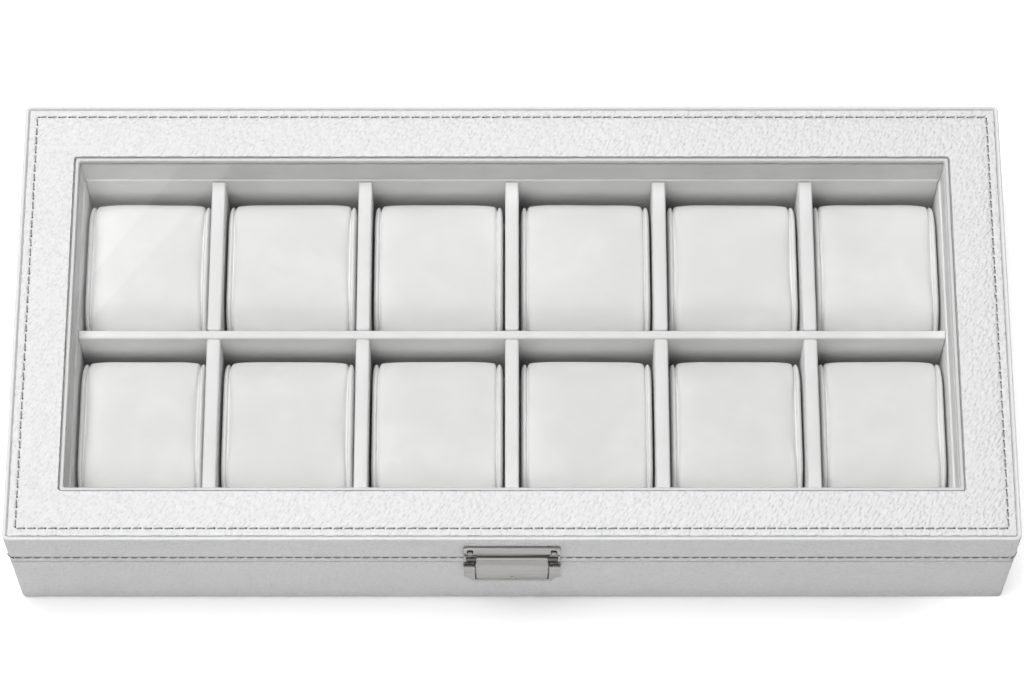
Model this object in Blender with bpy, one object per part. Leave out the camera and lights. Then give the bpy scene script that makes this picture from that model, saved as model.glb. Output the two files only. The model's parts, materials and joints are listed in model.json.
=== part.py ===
"""Watch display box: a leather-covered box for twelve watches with a hinged lid that has a glass window.

Metres, +Z up. +X runs to the right along the front, the front faces -Y, and the origin is at the
middle of the underside.
"""

import math
from collections import namedtuple

import bmesh
import bpy
from mathutils import Matrix, Vector

# Clearances
SEAT_GAP = 0.0003  # between pieces that are glued together or rest on each other
HARDWARE_GAP = 0.00015  # between metal fittings and the leather that they are screwed to
CUT_OVERRUN = 0.002  # how far every cutter passes the face that it opens
LIP_CLEARANCE = 0.00035  # between the lid's inside leather and the lining that stands up into it

# The cells and the tray that divides them
COLUMNS = 6
INNER_CELL_WIDTH = 0.0549
OUTER_CELL_WIDTH = 0.0522
CELL_LENGTH = 0.0671
CROSS_DIVIDER_THICKNESS = 0.0056
LONG_DIVIDER_THICKNESS = 0.0037
DIVIDER_EDGE_RADIUS = 0.0014
SLOT_CLEARANCE = 0.0003  # on each side of a half-lap slot
LINING_THICKNESS = 0.0028
LINING_EDGE_RADIUS = 0.0009
LIP_HEIGHT = 0.0073  # how far the lining and dividers stand above the body's rim
FLOOR_LINING_THICKNESS = 0.0018

# The body
SIDE_WALL = 0.0212  # from the lining's outer face to the outside
FRONT_WALL = 0.02325  # the same at the front and at the back
BODY_HEIGHT = 0.0432
BASE_BOARD_THICKNESS = 0.005
LEATHER_THICKNESS = 0.001
LEATHER_FOLD_RADIUS = 0.0006
OUTER_CORNER_RADIUS = 0.0022
INNER_CORNER_RADIUS = 0.0008
FELT_THICKNESS = 0.0015
FELT_INSET = 0.008
FELT_CORNER_RADIUS = 0.004
FELT_STAND = 0.0004  # how far the felt stands proud of the leather that is turned in under the box

# The lid
PARTING_GAP = 0.0003
LID_HEIGHT = 0.0245
RIM_WIDTH = 0.0014
RIM_RADIUS = 0.0006
RIM_DEPTH = 0.0024
PANEL_THICKNESS = 0.0019
PANEL_DROP = 0.0002  # the panel's top lies this far below the rim
PANEL_EDGE_RADIUS = 0.0005
PANEL_CORNER_RADIUS = 0.0008
WINDOW_CORNER_RADIUS = 0.0012
WINDOW_EDGE_RADIUS = 0.0008
PANEL_OVERHANG = 0.0016  # how far the panel reaches over the rails towards the window
FRONT_RAIL_SETBACK = 0.0027  # how much slimmer the front rail is than the back one
INNER_LEATHER_THICKNESS = 0.0008
TRIM_WIDTH = 0.0019  # from the panel's edge to the edge of the clear view
TRIM_DROP = 0.0006  # the trim's top lies this far below the rim
TRIM_EDGE_RADIUS = 0.0005
GLASS_THICKNESS = 0.0016
GLASS_DROP = 0.0038  # from the rim's top to the underside of the glass
GLASS_EDGE_CHAMFER = 0.0003

# The pillows
PILLOW_SIDE_GAP = 0.0008
PILLOW_END_GAP = 0.00155
PILLOW_HEIGHT = 0.0362
PILLOW_CORNER_RADIUS = 0.0172
PILLOW_SEAM_INSET = 0.002  # from the end of the pillow to its seam
PILLOW_SEAM_DEPTH = 0.0007
PILLOW_SHOULDER = 0.0016  # how far from the seam the cover reaches its full height
PILLOW_DRAW_IN = 0.0006  # how much lower the cover is near its seams than in its middle
PILLOW_GUSSET_ROUNDING = 0.0011
PILLOW_GUSSET_FACE_INSET = 0.0065
PILLOW_QUARTER_SHARE = 0.55

# The latch. Depths are measured out from the front of the box
LATCH_WIDTH = 0.0385
LATCH_TOP_DROP = 0.0074  # from the top of the lid to the upper plate
LATCH_CORNER_RADIUS = 0.0012
LATCH_EDGE_RADIUS = 0.00018
UPPER_PLATE_HEIGHT = 0.0078
UPPER_PLATE_TOP_DEPTH = 0.0009
UPPER_PLATE_FOOT_DEPTH = 0.00145
UPPER_RIB_DEPTH = 0.00045
UPPER_RIB_TOP_SHARE = 0.5
UPPER_RIB_FOOT_SHARE = 0.76
UPPER_RIB_FADE = 0.0003  # length of the slope at each end of the rib
LUG_WIDTH = 0.00105
LUG_RADIUS = 0.0011
LATCH_PIN_RADIUS = 0.0007
LATCH_PIN_CLEARANCE = 0.00008
LATCH_PIN_STANDOFF = 0.00045  # how far the pin stands out past the upper plate's foot
LATCH_PIN_END_GAP = 0.0003
FLAP_WIDTH = 0.0283
FLAP_BARREL_RADIUS = 0.00125
FLAP_BULGE = 0.0028
FLAP_DROP = 0.0222
FLAP_GROOVE_DEPTH_SHARE = 0.13
FLAP_OUTER_SHARES = (
    (0.804, 0.0315), (0.929, 0.0856), (0.985, 0.14), (1.0, 0.19), (1.0, 0.32),
    (1.0 - FLAP_GROOVE_DEPTH_SHARE, 0.336), (0.99, 0.352), (0.95, 0.483), (0.87, 0.59),
    (0.77, 0.7), (0.64, 0.81), (0.5, 0.915), (0.39, 0.98), (0.29, 1.0),
)
FLAP_INNER_SHARES = (
    (0.0, 1.0), (0.04, 0.965), (0.2, 0.88), (0.4, 0.74), (0.55, 0.58), (0.64, 0.42),
    (0.67, 0.28), (0.65, 0.19), (0.55, 0.12), (0.4, 0.085),
)
FLAP_BARREL_START_TURN = 0
FLAP_BARREL_END_TURN = 300
LOWER_PLATE_THICKNESS = 0.0009
LOWER_EAR_DEPTH = 0.0024
LOWER_EAR_HEIGHT = 0.0124
FLAP_SIDE_CLEARANCE = 0.0005
LOWER_TONGUE_WIDTH = 0.0326
LOWER_TONGUE_DROP = 0.0039
FLAP_FOOT_CLEARANCE = 0.0005
EAR_HOLE_LENGTH = 0.0032
EAR_HOLE_WIDTH = 0.0016
EAR_HOLE_DEPTH = 0.0016
SCREW_HEAD_RADIUS = 0.00135
SCREW_HEAD_HEIGHT = 0.0006
SCREW_SHANK_RADIUS = 0.0007
SCREW_HOLE_CLEARANCE = 0.00015
SCREW_SLOT_WIDTH = 0.0003
SCREW_SLOT_DEPTH = 0.00025
SCREW_SLOT_LENGTH = 0.0016
SCREW_DOME_SHARES = ((1.0, 0.33), (0.75, 0.8), (0.0, 1.0))  # of the head's radius and height
UPPER_SCREW_INSET = 0.0027  # from the latch's side to the screw's middle
UPPER_SCREW_DROP = 0.0042  # from the upper plate's top to the screw's middle
LOWER_SCREW_SPREAD = 0.0095
LOWER_SCREW_DROP = 0.005

# The hinges
HINGE_SPREAD = 0.112  # from the middle of the box to each hinge
HINGE_LENGTH = 0.026
HINGE_LEAF_HEIGHT = 0.0125
HINGE_LEAF_THICKNESS = 0.0008
HINGE_BARREL_RADIUS = 0.0018
HINGE_KNUCKLE_GAP = 0.0003
HINGE_MIDDLE_SHARE = 0.4  # share of the length that the lid's knuckle takes
HINGE_PIN_RADIUS = 0.0008
HINGE_PIN_CLEARANCE = 0.0001
HINGE_PIN_HEAD = 0.0004
HINGE_CORNER_RADIUS = 0.0015

# Facets
CORNER_STEPS = 4
ROUND_STEPS = 20
BARREL_STEPS = 12
EDGE_STEPS = 2

# Sizes that follow from the ones above
Rect = namedtuple("Rect", "left right front back")
INNER_CELLS = COLUMNS / 2 - 1
CAVITY_X = OUTER_CELL_WIDTH + INNER_CELLS * INNER_CELL_WIDTH + (COLUMNS - 1) / 2 * CROSS_DIVIDER_THICKNESS
CAVITY_Y = CELL_LENGTH + LONG_DIVIDER_THICKNESS / 2
LINING_X = CAVITY_X + LINING_THICKNESS
LINING_Y = CAVITY_Y + LINING_THICKNESS
HALF_WIDTH = LINING_X + SIDE_WALL
HALF_DEPTH = LINING_Y + FRONT_WALL
LID_FOOT = BODY_HEIGHT + PARTING_GAP
HEIGHT = LID_FOOT + LID_HEIGHT
LINING_TOP = BODY_HEIGHT + LIP_HEIGHT
BASE_BOARD_FOOT = FELT_THICKNESS + SEAT_GAP
BASE_BOARD_TOP = BASE_BOARD_FOOT + BASE_BOARD_THICKNESS
LINING_FOOT = BASE_BOARD_TOP + SEAT_GAP
FLOOR_TOP = LINING_FOOT + FLOOR_LINING_THICKNESS
PILLOW_FOOT = FLOOR_TOP + SEAT_GAP
PILLOW_LENGTH = CELL_LENGTH - 2 * PILLOW_END_GAP
WALL_FOOT = FELT_STAND + LEATHER_THICKNESS + SEAT_GAP
PANEL_TOP = HEIGHT - PANEL_DROP
PANEL_FOOT = PANEL_TOP - PANEL_THICKNESS
RAIL_TOP = PANEL_FOOT - SEAT_GAP
RAIL_FOOT = LID_FOOT + LEATHER_THICKNESS + SEAT_GAP
GLASS_FOOT = HEIGHT - GLASS_DROP
GLASS_TOP = GLASS_FOOT + GLASS_THICKNESS
LID_LINING_FOOT = LINING_TOP + SEAT_GAP
LID_LINING_TOP = GLASS_FOOT - SEAT_GAP
FRONT_FACE = -HALF_DEPTH
BACK_FACE = HALF_DEPTH
HINGE_Y = BACK_FACE + HARDWARE_GAP + HINGE_BARREL_RADIUS
HINGE_Z = BODY_HEIGHT + PARTING_GAP / 2
LATCH_TOP = HEIGHT - LATCH_TOP_DROP
UPPER_FOOT = LATCH_TOP - UPPER_PLATE_HEIGHT
LATCH_PIN_Z = UPPER_FOOT - FLAP_BARREL_RADIUS - SEAT_GAP
LATCH_PIN_DEPTH = UPPER_PLATE_FOOT_DEPTH + LATCH_PIN_STANDOFF
LATCH_PIN_Y = FRONT_FACE - LATCH_PIN_DEPTH
FLAP_SEAT_DEPTH = HARDWARE_GAP + LOWER_PLATE_THICKNESS + SEAT_GAP
FLAP_FOOT = LATCH_PIN_Z - FLAP_DROP


def outer_rect():
    return Rect(-HALF_WIDTH, HALF_WIDTH, FRONT_FACE, BACK_FACE)


def lining_rect():
    """Outer faces of the lining boards."""
    return Rect(-LINING_X, LINING_X, -LINING_Y, LINING_Y)


def cavity_rect():
    """Inner faces of the lining boards."""
    return Rect(-CAVITY_X, CAVITY_X, -CAVITY_Y, CAVITY_Y)


def lid_leather_rect():
    """The lid's inside leather, which clears the lining and stands further off at the front."""
    free = inset(lining_rect(), -LIP_CLEARANCE)
    return free._replace(front=free.front - FRONT_RAIL_SETBACK)


def rail_rect():
    """Inner faces of the lid's rails."""
    return inset(lid_leather_rect(), -INNER_LEATHER_THICKNESS - SEAT_GAP)


def window_rect():
    """The panel's inner edge, where the leather ends and the trim begins."""
    return inset(rail_rect(), PANEL_OVERHANG)


def view_rect():
    """The clear view through the glass."""
    return inset(window_rect(), TRIM_WIDTH)


def inset(rect, distance):
    return Rect(rect.left + distance, rect.right - distance, rect.front + distance, rect.back - distance)


def clear_scene():
    for obj in list(bpy.data.objects):
        bpy.data.objects.remove(obj, do_unlink=True)


def surface(name, colour, roughness, metallic=0.0):
    material = bpy.data.materials.new(name)
    material.use_nodes = True
    shader = material.node_tree.nodes["Principled BSDF"]
    shader.inputs["Base Color"].default_value = (*colour, 1.0)
    shader.inputs["Roughness"].default_value = roughness
    shader.inputs["Metallic"].default_value = metallic
    return material


def leather_material(name):
    return surface(name, (0.83, 0.83, 0.84), 0.5)


def velvet_material(name):
    return surface(name, (0.78, 0.79, 0.79), 0.95)


def board_material(name):
    return surface(name, (0.45, 0.33, 0.21), 0.8)


def felt_material(name):
    return surface(name, (0.7, 0.7, 0.7), 1.0)


def nickel_material(name):
    return surface(name, (0.62, 0.6, 0.57), 0.28, 1.0)


def glass_material(name):
    material = surface(name, (0.95, 0.97, 0.97), 0.02)
    material.node_tree.nodes["Principled BSDF"].inputs["Transmission Weight"].default_value = 1.0
    return material


def finish(name, bm, material, flat_below=None):
    """Turns the bmesh into a named object with one material, shaded smooth up to the given angle."""
    bmesh.ops.recalc_face_normals(bm, faces=bm.faces)
    if bm.calc_volume(signed=True) < 0:
        bmesh.ops.reverse_faces(bm, faces=bm.faces)
    mesh = bpy.data.meshes.new(name)
    bm.to_mesh(mesh)
    bm.free()
    obj = bpy.data.objects.new(name, mesh)
    bpy.context.scene.collection.objects.link(obj)
    if material is not None:
        mesh.materials.append(material(name + "_finish"))
    if flat_below is not None:
        mesh.shade_smooth()
        mesh.set_sharp_from_angle(angle=math.radians(flat_below))
    return obj


def rounded_loop(bm, rect, height, radius):
    """The points of a rectangle with round corners, at one height, anticlockwise from above."""
    corners = (
        (rect.right - radius, rect.back - radius, 0),
        (rect.left + radius, rect.back - radius, 90),
        (rect.left + radius, rect.front + radius, 180),
        (rect.right - radius, rect.front + radius, 270),
    )
    points = []
    for x, y, start in corners:
        for step in range(CORNER_STEPS + 1):
            turn = math.radians(start + 90 * step / CORNER_STEPS)
            place = (x + radius * math.cos(turn), y + radius * math.sin(turn), height)
            points.append(bm.verts.new(place))
    return points


def join_loops(bm, low, high):
    """A band of faces between two loops that have their points in the same order."""
    for i in range(len(low)):
        bm.faces.new((low[i - 1], low[i], high[i], high[i - 1]))


def ring_frame(name, sections, material):
    """A closed frame: each section is a rounded rectangle, and the last one meets the first."""
    bm = bmesh.new()
    loops = [rounded_loop(bm, *section) for section in sections]
    for i, loop in enumerate(loops):
        join_loops(bm, loops[i - 1], loop)
    return finish(name, bm, material, 40)


def lofted_solid(bm, sections):
    """A solid through rounded rectangles, closed at both ends."""
    loops = [rounded_loop(bm, *section) for section in sections]
    for low, high in zip(loops, loops[1:]):
        join_loops(bm, low, high)
    bm.faces.new(loops[0])
    bm.faces.new(loops[-1])


def block(bm, low, high):
    """A box between two corners."""
    size = Vector(high) - Vector(low)
    middle = (Vector(high) + Vector(low)) / 2
    shape = Matrix.Translation(middle) @ Matrix.Diagonal((*size, 1.0))
    return bmesh.ops.create_cube(bm, size=1.0, matrix=shape)["verts"]


def prism_along_x(bm, outline, low, high):
    """A solid with the given side view, a list of (y, z), between two values of x."""
    face = bm.faces.new([bm.verts.new((low, y, z)) for y, z in outline])
    grown = bmesh.ops.extrude_face_region(bm, geom=[face])["geom"]
    moved = [item for item in grown if isinstance(item, bmesh.types.BMVert)]
    bmesh.ops.translate(bm, vec=(high - low, 0, 0), verts=moved)


def prism_along_z(bm, outline, low, high):
    """A solid with the given plan, a list of (x, y), between two heights."""
    face = bm.faces.new([bm.verts.new((x, y, low)) for x, y in outline])
    grown = bmesh.ops.extrude_face_region(bm, geom=[face])["geom"]
    moved = [item for item in grown if isinstance(item, bmesh.types.BMVert)]
    bmesh.ops.translate(bm, vec=(0, 0, high - low), verts=moved)


def rod_along_x(bm, centre, radius, low, high, steps):
    """A round rod between two values of x, about the axis through centre, a (y, z)."""
    turned = Matrix.Rotation(math.radians(90), 4, "Y")
    place = Matrix.Translation(((low + high) / 2, *centre)) @ turned
    return bmesh.ops.create_cone(
        bm, cap_ends=True, segments=steps, radius1=radius, radius2=radius, depth=high - low, matrix=place
    )["verts"]


def rod_along_y(bm, centre, radius, low, high, steps):
    """A round rod between two values of y, about the axis through centre, an (x, z)."""
    turned = Matrix.Rotation(math.radians(90), 4, "X")
    place = Matrix.Translation((centre[0], (low + high) / 2, centre[1])) @ turned
    return bmesh.ops.create_cone(
        bm, cap_ends=True, segments=steps, radius1=radius, radius2=radius, depth=high - low, matrix=place
    )["verts"]


def arc_points(centre, radius, start, end, steps):
    """Points on a circle in a side view, with angles in degrees from the first axis."""
    found = []
    for step in range(steps + 1):
        turn = math.radians(start + (end - start) * step / steps)
        found.append((centre[0] + radius * math.cos(turn), centre[1] + radius * math.sin(turn)))
    return found


def round_edges(bm, edges, radius, steps=EDGE_STEPS):
    bmesh.ops.bevel(bm, geom=edges, offset=radius, segments=steps, profile=0.5, affect="EDGES", material=-1)


def cut(target, cutter):
    """Takes the cutter's shape out of the target."""
    cutter.hide_render = True
    cutter.display_type = "WIRE"
    modifier = target.modifiers.new("cut_" + cutter.name, "BOOLEAN")
    modifier.operation = "DIFFERENCE"
    modifier.solver = "EXACT"
    modifier.object = cutter


def soften(target, width, angle=35):
    """A narrow round along every sharp edge."""
    modifier = target.modifiers.new("soft_edges", "BEVEL")
    modifier.width = width
    modifier.segments = 1
    modifier.limit_method = "ANGLE"
    modifier.angle_limit = math.radians(angle)


def mitred_boards(prefix, outer, inner, foot, top, material, corner_cut=0, edge_radius=0):
    """Four boards round a rectangle, mitred at their corners.

    corner_cut takes the sharp outer corner off, and edge_radius rounds the inner top edge.
    """
    half = SEAT_GAP / 2
    tip = corner_cut / 2
    plans = {
        "front": (
            (inner.right - half, inner.front), (inner.left + half, inner.front),
            (outer.left + tip + half, outer.front + tip), (outer.left + corner_cut + half, outer.front),
            (outer.right - corner_cut - half, outer.front), (outer.right - tip - half, outer.front + tip),
        ),
        "back": (
            (inner.left + half, inner.back), (inner.right - half, inner.back),
            (outer.right - tip - half, outer.back - tip), (outer.right - corner_cut - half, outer.back),
            (outer.left + corner_cut + half, outer.back), (outer.left + tip + half, outer.back - tip),
        ),
        "left": (
            (inner.left, inner.front + half), (inner.left, inner.back - half),
            (outer.left + tip, outer.back - tip - half), (outer.left, outer.back - corner_cut - half),
            (outer.left, outer.front + corner_cut + half), (outer.left + tip, outer.front + tip + half),
        ),
        "right": (
            (inner.right, inner.back - half), (inner.right, inner.front + half),
            (outer.right - tip, outer.front + tip + half), (outer.right, outer.front + corner_cut + half),
            (outer.right, outer.back - corner_cut - half), (outer.right - tip, outer.back - tip - half),
        ),
    }
    boards = []
    for side, plan in plans.items():
        bm = bmesh.new()
        prism_along_z(bm, plan, foot, top)
        bmesh.ops.remove_doubles(bm, verts=bm.verts, dist=SEAT_GAP / 10)
        if edge_radius:
            ends = [Vector((*place, top)) for place in plan[:2]]
            edges = [
                edge for edge in bm.edges
                if all(min((vert.co - end).length for end in ends) < half for vert in edge.verts)
            ]
            round_edges(bm, edges, edge_radius)
        boards.append(finish(prefix + side, bm, material, 40 if edge_radius else None))
    return boards


def divider_x(index):
    """The middle of a cross divider, counted from the left."""
    pitch = INNER_CELL_WIDTH + CROSS_DIVIDER_THICKNESS
    return (index - (COLUMNS - 2) / 2) * pitch


def cell_span(column):
    """The two sides of a column of cells."""
    low = -CAVITY_X if column == 0 else divider_x(column - 1) + CROSS_DIVIDER_THICKNESS / 2
    high = CAVITY_X if column == COLUMNS - 1 else divider_x(column) - CROSS_DIVIDER_THICKNESS / 2
    return low, high


def base_wrap():
    """The body's leather: up the outside, over the rim as far as the lining, and turned in underneath."""
    outside = outer_rect()
    foot = FELT_STAND
    lining = inset(lining_rect(), -SEAT_GAP)
    turned_in = inset(outside, FELT_INSET - SEAT_GAP)
    board_side = inset(outside, LEATHER_THICKNESS)
    fold = LEATHER_FOLD_RADIUS
    inner_radius = OUTER_CORNER_RADIUS - LEATHER_THICKNESS
    sections = (
        (outside, foot + fold, OUTER_CORNER_RADIUS),
        (outside, BODY_HEIGHT - fold, OUTER_CORNER_RADIUS),
        (inset(outside, fold), BODY_HEIGHT, OUTER_CORNER_RADIUS - fold),
        (lining, BODY_HEIGHT, INNER_CORNER_RADIUS),
        (lining, BODY_HEIGHT - LEATHER_THICKNESS, INNER_CORNER_RADIUS),
        (board_side, BODY_HEIGHT - LEATHER_THICKNESS, inner_radius),
        (board_side, foot + LEATHER_THICKNESS, inner_radius),
        (turned_in, foot + LEATHER_THICKNESS, FELT_CORNER_RADIUS),
        (turned_in, foot, FELT_CORNER_RADIUS),
        (inset(outside, fold), foot, OUTER_CORNER_RADIUS - fold),
    )
    return ring_frame("base_leather_wrap", sections, leather_material)


def base_boards():
    """The body's mitred wall boards and its bottom board."""
    outer = inset(outer_rect(), LEATHER_THICKNESS + SEAT_GAP)
    inner = inset(lining_rect(), -SEAT_GAP)
    top = BODY_HEIGHT - LEATHER_THICKNESS - SEAT_GAP
    mitred_boards("base_board_", outer, inner, WALL_FOOT, top, board_material, OUTER_CORNER_RADIUS)
    bm = bmesh.new()
    bottom = inset(inner, SEAT_GAP)
    low = (bottom.left, bottom.front, BASE_BOARD_FOOT)
    block(bm, low, (bottom.right, bottom.back, BASE_BOARD_TOP))
    finish("base_board_bottom", bm, board_material)


def base_felt():
    bm = bmesh.new()
    sheet = inset(outer_rect(), FELT_INSET)
    lofted_solid(bm, ((sheet, 0, FELT_CORNER_RADIUS), (sheet, FELT_THICKNESS, FELT_CORNER_RADIUS)))
    finish("base_felt", bm, felt_material, 40)


def lining():
    """The fabric-covered boards that line the body and stand above its rim, and the floor inside them."""
    mitred_boards(
        "lining_", lining_rect(), cavity_rect(), LINING_FOOT, LINING_TOP, velvet_material,
        edge_radius=LINING_EDGE_RADIUS,
    )
    bm = bmesh.new()
    floor = inset(cavity_rect(), SEAT_GAP)
    block(bm, (floor.left, floor.front, LINING_FOOT), (floor.right, floor.back, FLOOR_TOP))
    finish("lining_floor", bm, velvet_material)


def dividers():
    """The tray's grid: the long divider lies over the cross dividers, each slotted to half of its height."""
    foot = FLOOR_TOP + SEAT_GAP
    middle = (foot + LINING_TOP) / 2
    long_half = LONG_DIVIDER_THICKNESS / 2
    cross_half = CROSS_DIVIDER_THICKNESS / 2
    bm = bmesh.new()
    block(bm, (-CAVITY_X + SEAT_GAP, -long_half, foot), (CAVITY_X - SEAT_GAP, long_half, LINING_TOP))
    round_edges(bm, top_edges(bm, "y"), DIVIDER_EDGE_RADIUS)
    long_divider = finish("long_divider", bm, velvet_material, 40)
    for index in range(COLUMNS - 1):
        x = divider_x(index)
        bm = bmesh.new()
        reach = cross_half + SLOT_CLEARANCE
        block(
            bm,
            (x - reach, -long_half - CUT_OVERRUN, foot - CUT_OVERRUN),
            (x + reach, long_half + CUT_OVERRUN, middle + SEAT_GAP / 2),
        )
        cut(long_divider, finish(f"long_divider_slot_{index + 1}", bm, None))
        bm = bmesh.new()
        length_half = CAVITY_Y - SEAT_GAP
        block(bm, (x - cross_half, -length_half, foot), (x + cross_half, length_half, LINING_TOP))
        round_edges(bm, top_edges(bm, "x"), DIVIDER_EDGE_RADIUS)
        cross = finish(f"cross_divider_{index + 1}", bm, velvet_material, 40)
        bm = bmesh.new()
        reach = long_half + SLOT_CLEARANCE
        block(
            bm,
            (x - cross_half - CUT_OVERRUN, -reach, middle - SEAT_GAP / 2),
            (x + cross_half + CUT_OVERRUN, reach, LINING_TOP + CUT_OVERRUN),
        )
        cut(cross, finish(f"cross_divider_slot_{index + 1}", bm, None))


def top_edges(bm, across):
    """The edges of a block's top face that keep to one side of it, x or y."""
    top = max(vert.co.z for vert in bm.verts)
    return [
        edge for edge in bm.edges
        if all(vert.co.z == top for vert in edge.verts)
        and getattr(edge.verts[0].co, across) == getattr(edge.verts[1].co, across)
    ]


def pillow_mesh(half_width):
    """Sections from one end to the other: gusset face, its rounded edge, seam, shoulder, crown and back."""
    half_length = PILLOW_LENGTH / 2
    full = Rect(-half_length, half_length, 0, PILLOW_HEIGHT)
    seam = half_width - PILLOW_SEAM_INSET
    shoulder = seam - PILLOW_SHOULDER
    one_side = [
        (half_width, PILLOW_GUSSET_FACE_INSET),
        (half_width - PILLOW_GUSSET_ROUNDING / 4, PILLOW_GUSSET_ROUNDING + PILLOW_SEAM_DEPTH),
        (half_width - PILLOW_GUSSET_ROUNDING, PILLOW_SEAM_DEPTH),
        (seam, PILLOW_SEAM_DEPTH + PILLOW_DRAW_IN),
        (seam - PILLOW_SHOULDER / 2, PILLOW_DRAW_IN + PILLOW_SEAM_DEPTH / 4),
        (shoulder, PILLOW_DRAW_IN / 2),
        (half_width * PILLOW_QUARTER_SHARE, PILLOW_DRAW_IN / 4),
    ]
    other_side = [(-x, depth) for x, depth in one_side]
    stations = other_side + [(0, 0)] + one_side[::-1]
    sections = [(inset(full, depth), x, PILLOW_CORNER_RADIUS - depth) for x, depth in stations]
    bm = bmesh.new()
    lofted_solid(bm, sections)
    # The sections were drawn in plan along Z: turn them so that they stand across X
    stand_up = Matrix(((0, 0, 1, 0), (1, 0, 0, 0), (0, 1, 0, 0), (0, 0, 0, 1)))
    bmesh.ops.transform(bm, matrix=stand_up, verts=bm.verts)
    return bm


def pillows():
    """Two rows of pillows, each lying on the floor of its own cell with a little room all round."""
    row_y = (CELL_LENGTH + LONG_DIVIDER_THICKNESS) / 2
    for row, y in (("front", -row_y), ("back", row_y)):
        for column in range(COLUMNS):
            low, high = cell_span(column)
            bm = pillow_mesh((high - low) / 2 - PILLOW_SIDE_GAP)
            pillow = finish(f"pillow_{row}_{column + 1}", bm, velvet_material, 60)
            pillow.location = ((low + high) / 2, y, PILLOW_FOOT)


def lid_wrap():
    """The lid's leather: the side band with its raised rim, turned under the rails and up inside them."""
    outside = outer_rect()
    inside = lid_leather_rect()
    rail_side = inset(inside, -INNER_LEATHER_THICKNESS)
    band = inset(outside, LEATHER_THICKNESS)
    rim = inset(outside, RIM_WIDTH)
    fold = LEATHER_FOLD_RADIUS
    inner_radius = OUTER_CORNER_RADIUS - LEATHER_THICKNESS
    rim_inner = inset(outside, RIM_WIDTH - RIM_RADIUS / 3)
    turn_up = LID_LINING_FOOT - SEAT_GAP
    sections = (
        (outside, LID_FOOT + fold, OUTER_CORNER_RADIUS),
        (outside, HEIGHT - RIM_RADIUS, OUTER_CORNER_RADIUS),
        (inset(outside, RIM_RADIUS / 4), HEIGHT - RIM_RADIUS / 4, OUTER_CORNER_RADIUS - RIM_RADIUS / 4),
        (inset(outside, RIM_RADIUS), HEIGHT, OUTER_CORNER_RADIUS - RIM_RADIUS),
        (rim_inner, HEIGHT - RIM_RADIUS / 4, OUTER_CORNER_RADIUS - RIM_WIDTH),
        (rim, HEIGHT - RIM_RADIUS, OUTER_CORNER_RADIUS - RIM_WIDTH),
        (rim, HEIGHT - RIM_DEPTH, OUTER_CORNER_RADIUS - RIM_WIDTH),
        (band, HEIGHT - RIM_DEPTH, inner_radius),
        (band, LID_FOOT + LEATHER_THICKNESS, inner_radius),
        (rail_side, LID_FOOT + LEATHER_THICKNESS, INNER_CORNER_RADIUS),
        (rail_side, turn_up, INNER_CORNER_RADIUS),
        (inside, turn_up, INNER_CORNER_RADIUS),
        (inside, LID_FOOT + fold, INNER_CORNER_RADIUS),
        (inset(inside, -fold), LID_FOOT, INNER_CORNER_RADIUS),
        (inset(outside, fold), LID_FOOT, OUTER_CORNER_RADIUS - fold),
    )
    return ring_frame("lid_leather_wrap", sections, leather_material)


def lid_rails():
    outer = inset(outer_rect(), RIM_WIDTH + SEAT_GAP)
    return mitred_boards(
        "lid_rail_", outer, rail_rect(), RAIL_FOOT, RAIL_TOP, board_material, OUTER_CORNER_RADIUS - RIM_WIDTH
    )


def lid_lining():
    outer = inset(rail_rect(), SEAT_GAP)
    return mitred_boards("lid_lining_", outer, view_rect(), LID_LINING_FOOT, LID_LINING_TOP, velvet_material)


def lid_panel():
    """The padded leather border of the window, which lies inside the rim."""
    outer = inset(outer_rect(), RIM_WIDTH + SEAT_GAP)
    window = window_rect()
    edge = PANEL_EDGE_RADIUS
    roll = WINDOW_EDGE_RADIUS
    sections = (
        (outer, PANEL_FOOT, PANEL_CORNER_RADIUS),
        (outer, PANEL_TOP - edge, PANEL_CORNER_RADIUS),
        (inset(outer, edge / 3), PANEL_TOP - edge / 3, PANEL_CORNER_RADIUS),
        (inset(outer, edge), PANEL_TOP, PANEL_CORNER_RADIUS),
        (inset(window, -roll), PANEL_TOP, WINDOW_CORNER_RADIUS + roll),
        (inset(window, -roll / 3), PANEL_TOP - roll / 3, WINDOW_CORNER_RADIUS + roll / 3),
        (window, PANEL_TOP - roll, WINDOW_CORNER_RADIUS),
        (window, PANEL_FOOT, WINDOW_CORNER_RADIUS),
    )
    return ring_frame("lid_panel", sections, leather_material)


def window_trim():
    """The narrow bead that holds the glass down."""
    outer = inset(window_rect(), SEAT_GAP)
    inner = view_rect()
    foot = GLASS_TOP + SEAT_GAP
    top = HEIGHT - TRIM_DROP
    edge = TRIM_EDGE_RADIUS
    sections = (
        (outer, foot, INNER_CORNER_RADIUS),
        (outer, top, INNER_CORNER_RADIUS),
        (inset(inner, -edge), top, INNER_CORNER_RADIUS + edge),
        (inset(inner, -edge / 3), top - edge / 3, INNER_CORNER_RADIUS + edge / 3),
        (inner, top - edge, INNER_CORNER_RADIUS),
        (inner, foot, INNER_CORNER_RADIUS),
    )
    return ring_frame("window_trim", sections, leather_material)


def glass_pane():
    bm = bmesh.new()
    pane = inset(rail_rect(), SEAT_GAP)
    block(bm, (pane.left, pane.front, GLASS_FOOT), (pane.right, pane.back, GLASS_TOP))
    round_edges(bm, list(bm.edges), GLASS_EDGE_CHAMFER, 1)
    return finish("glass_pane", bm, glass_material)


def depth_to_y(outline):
    """Side view of the latch, with depths out from the front of the box, as places in Y and Z."""
    return [(FRONT_FACE - depth, z) for depth, z in outline]


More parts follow.
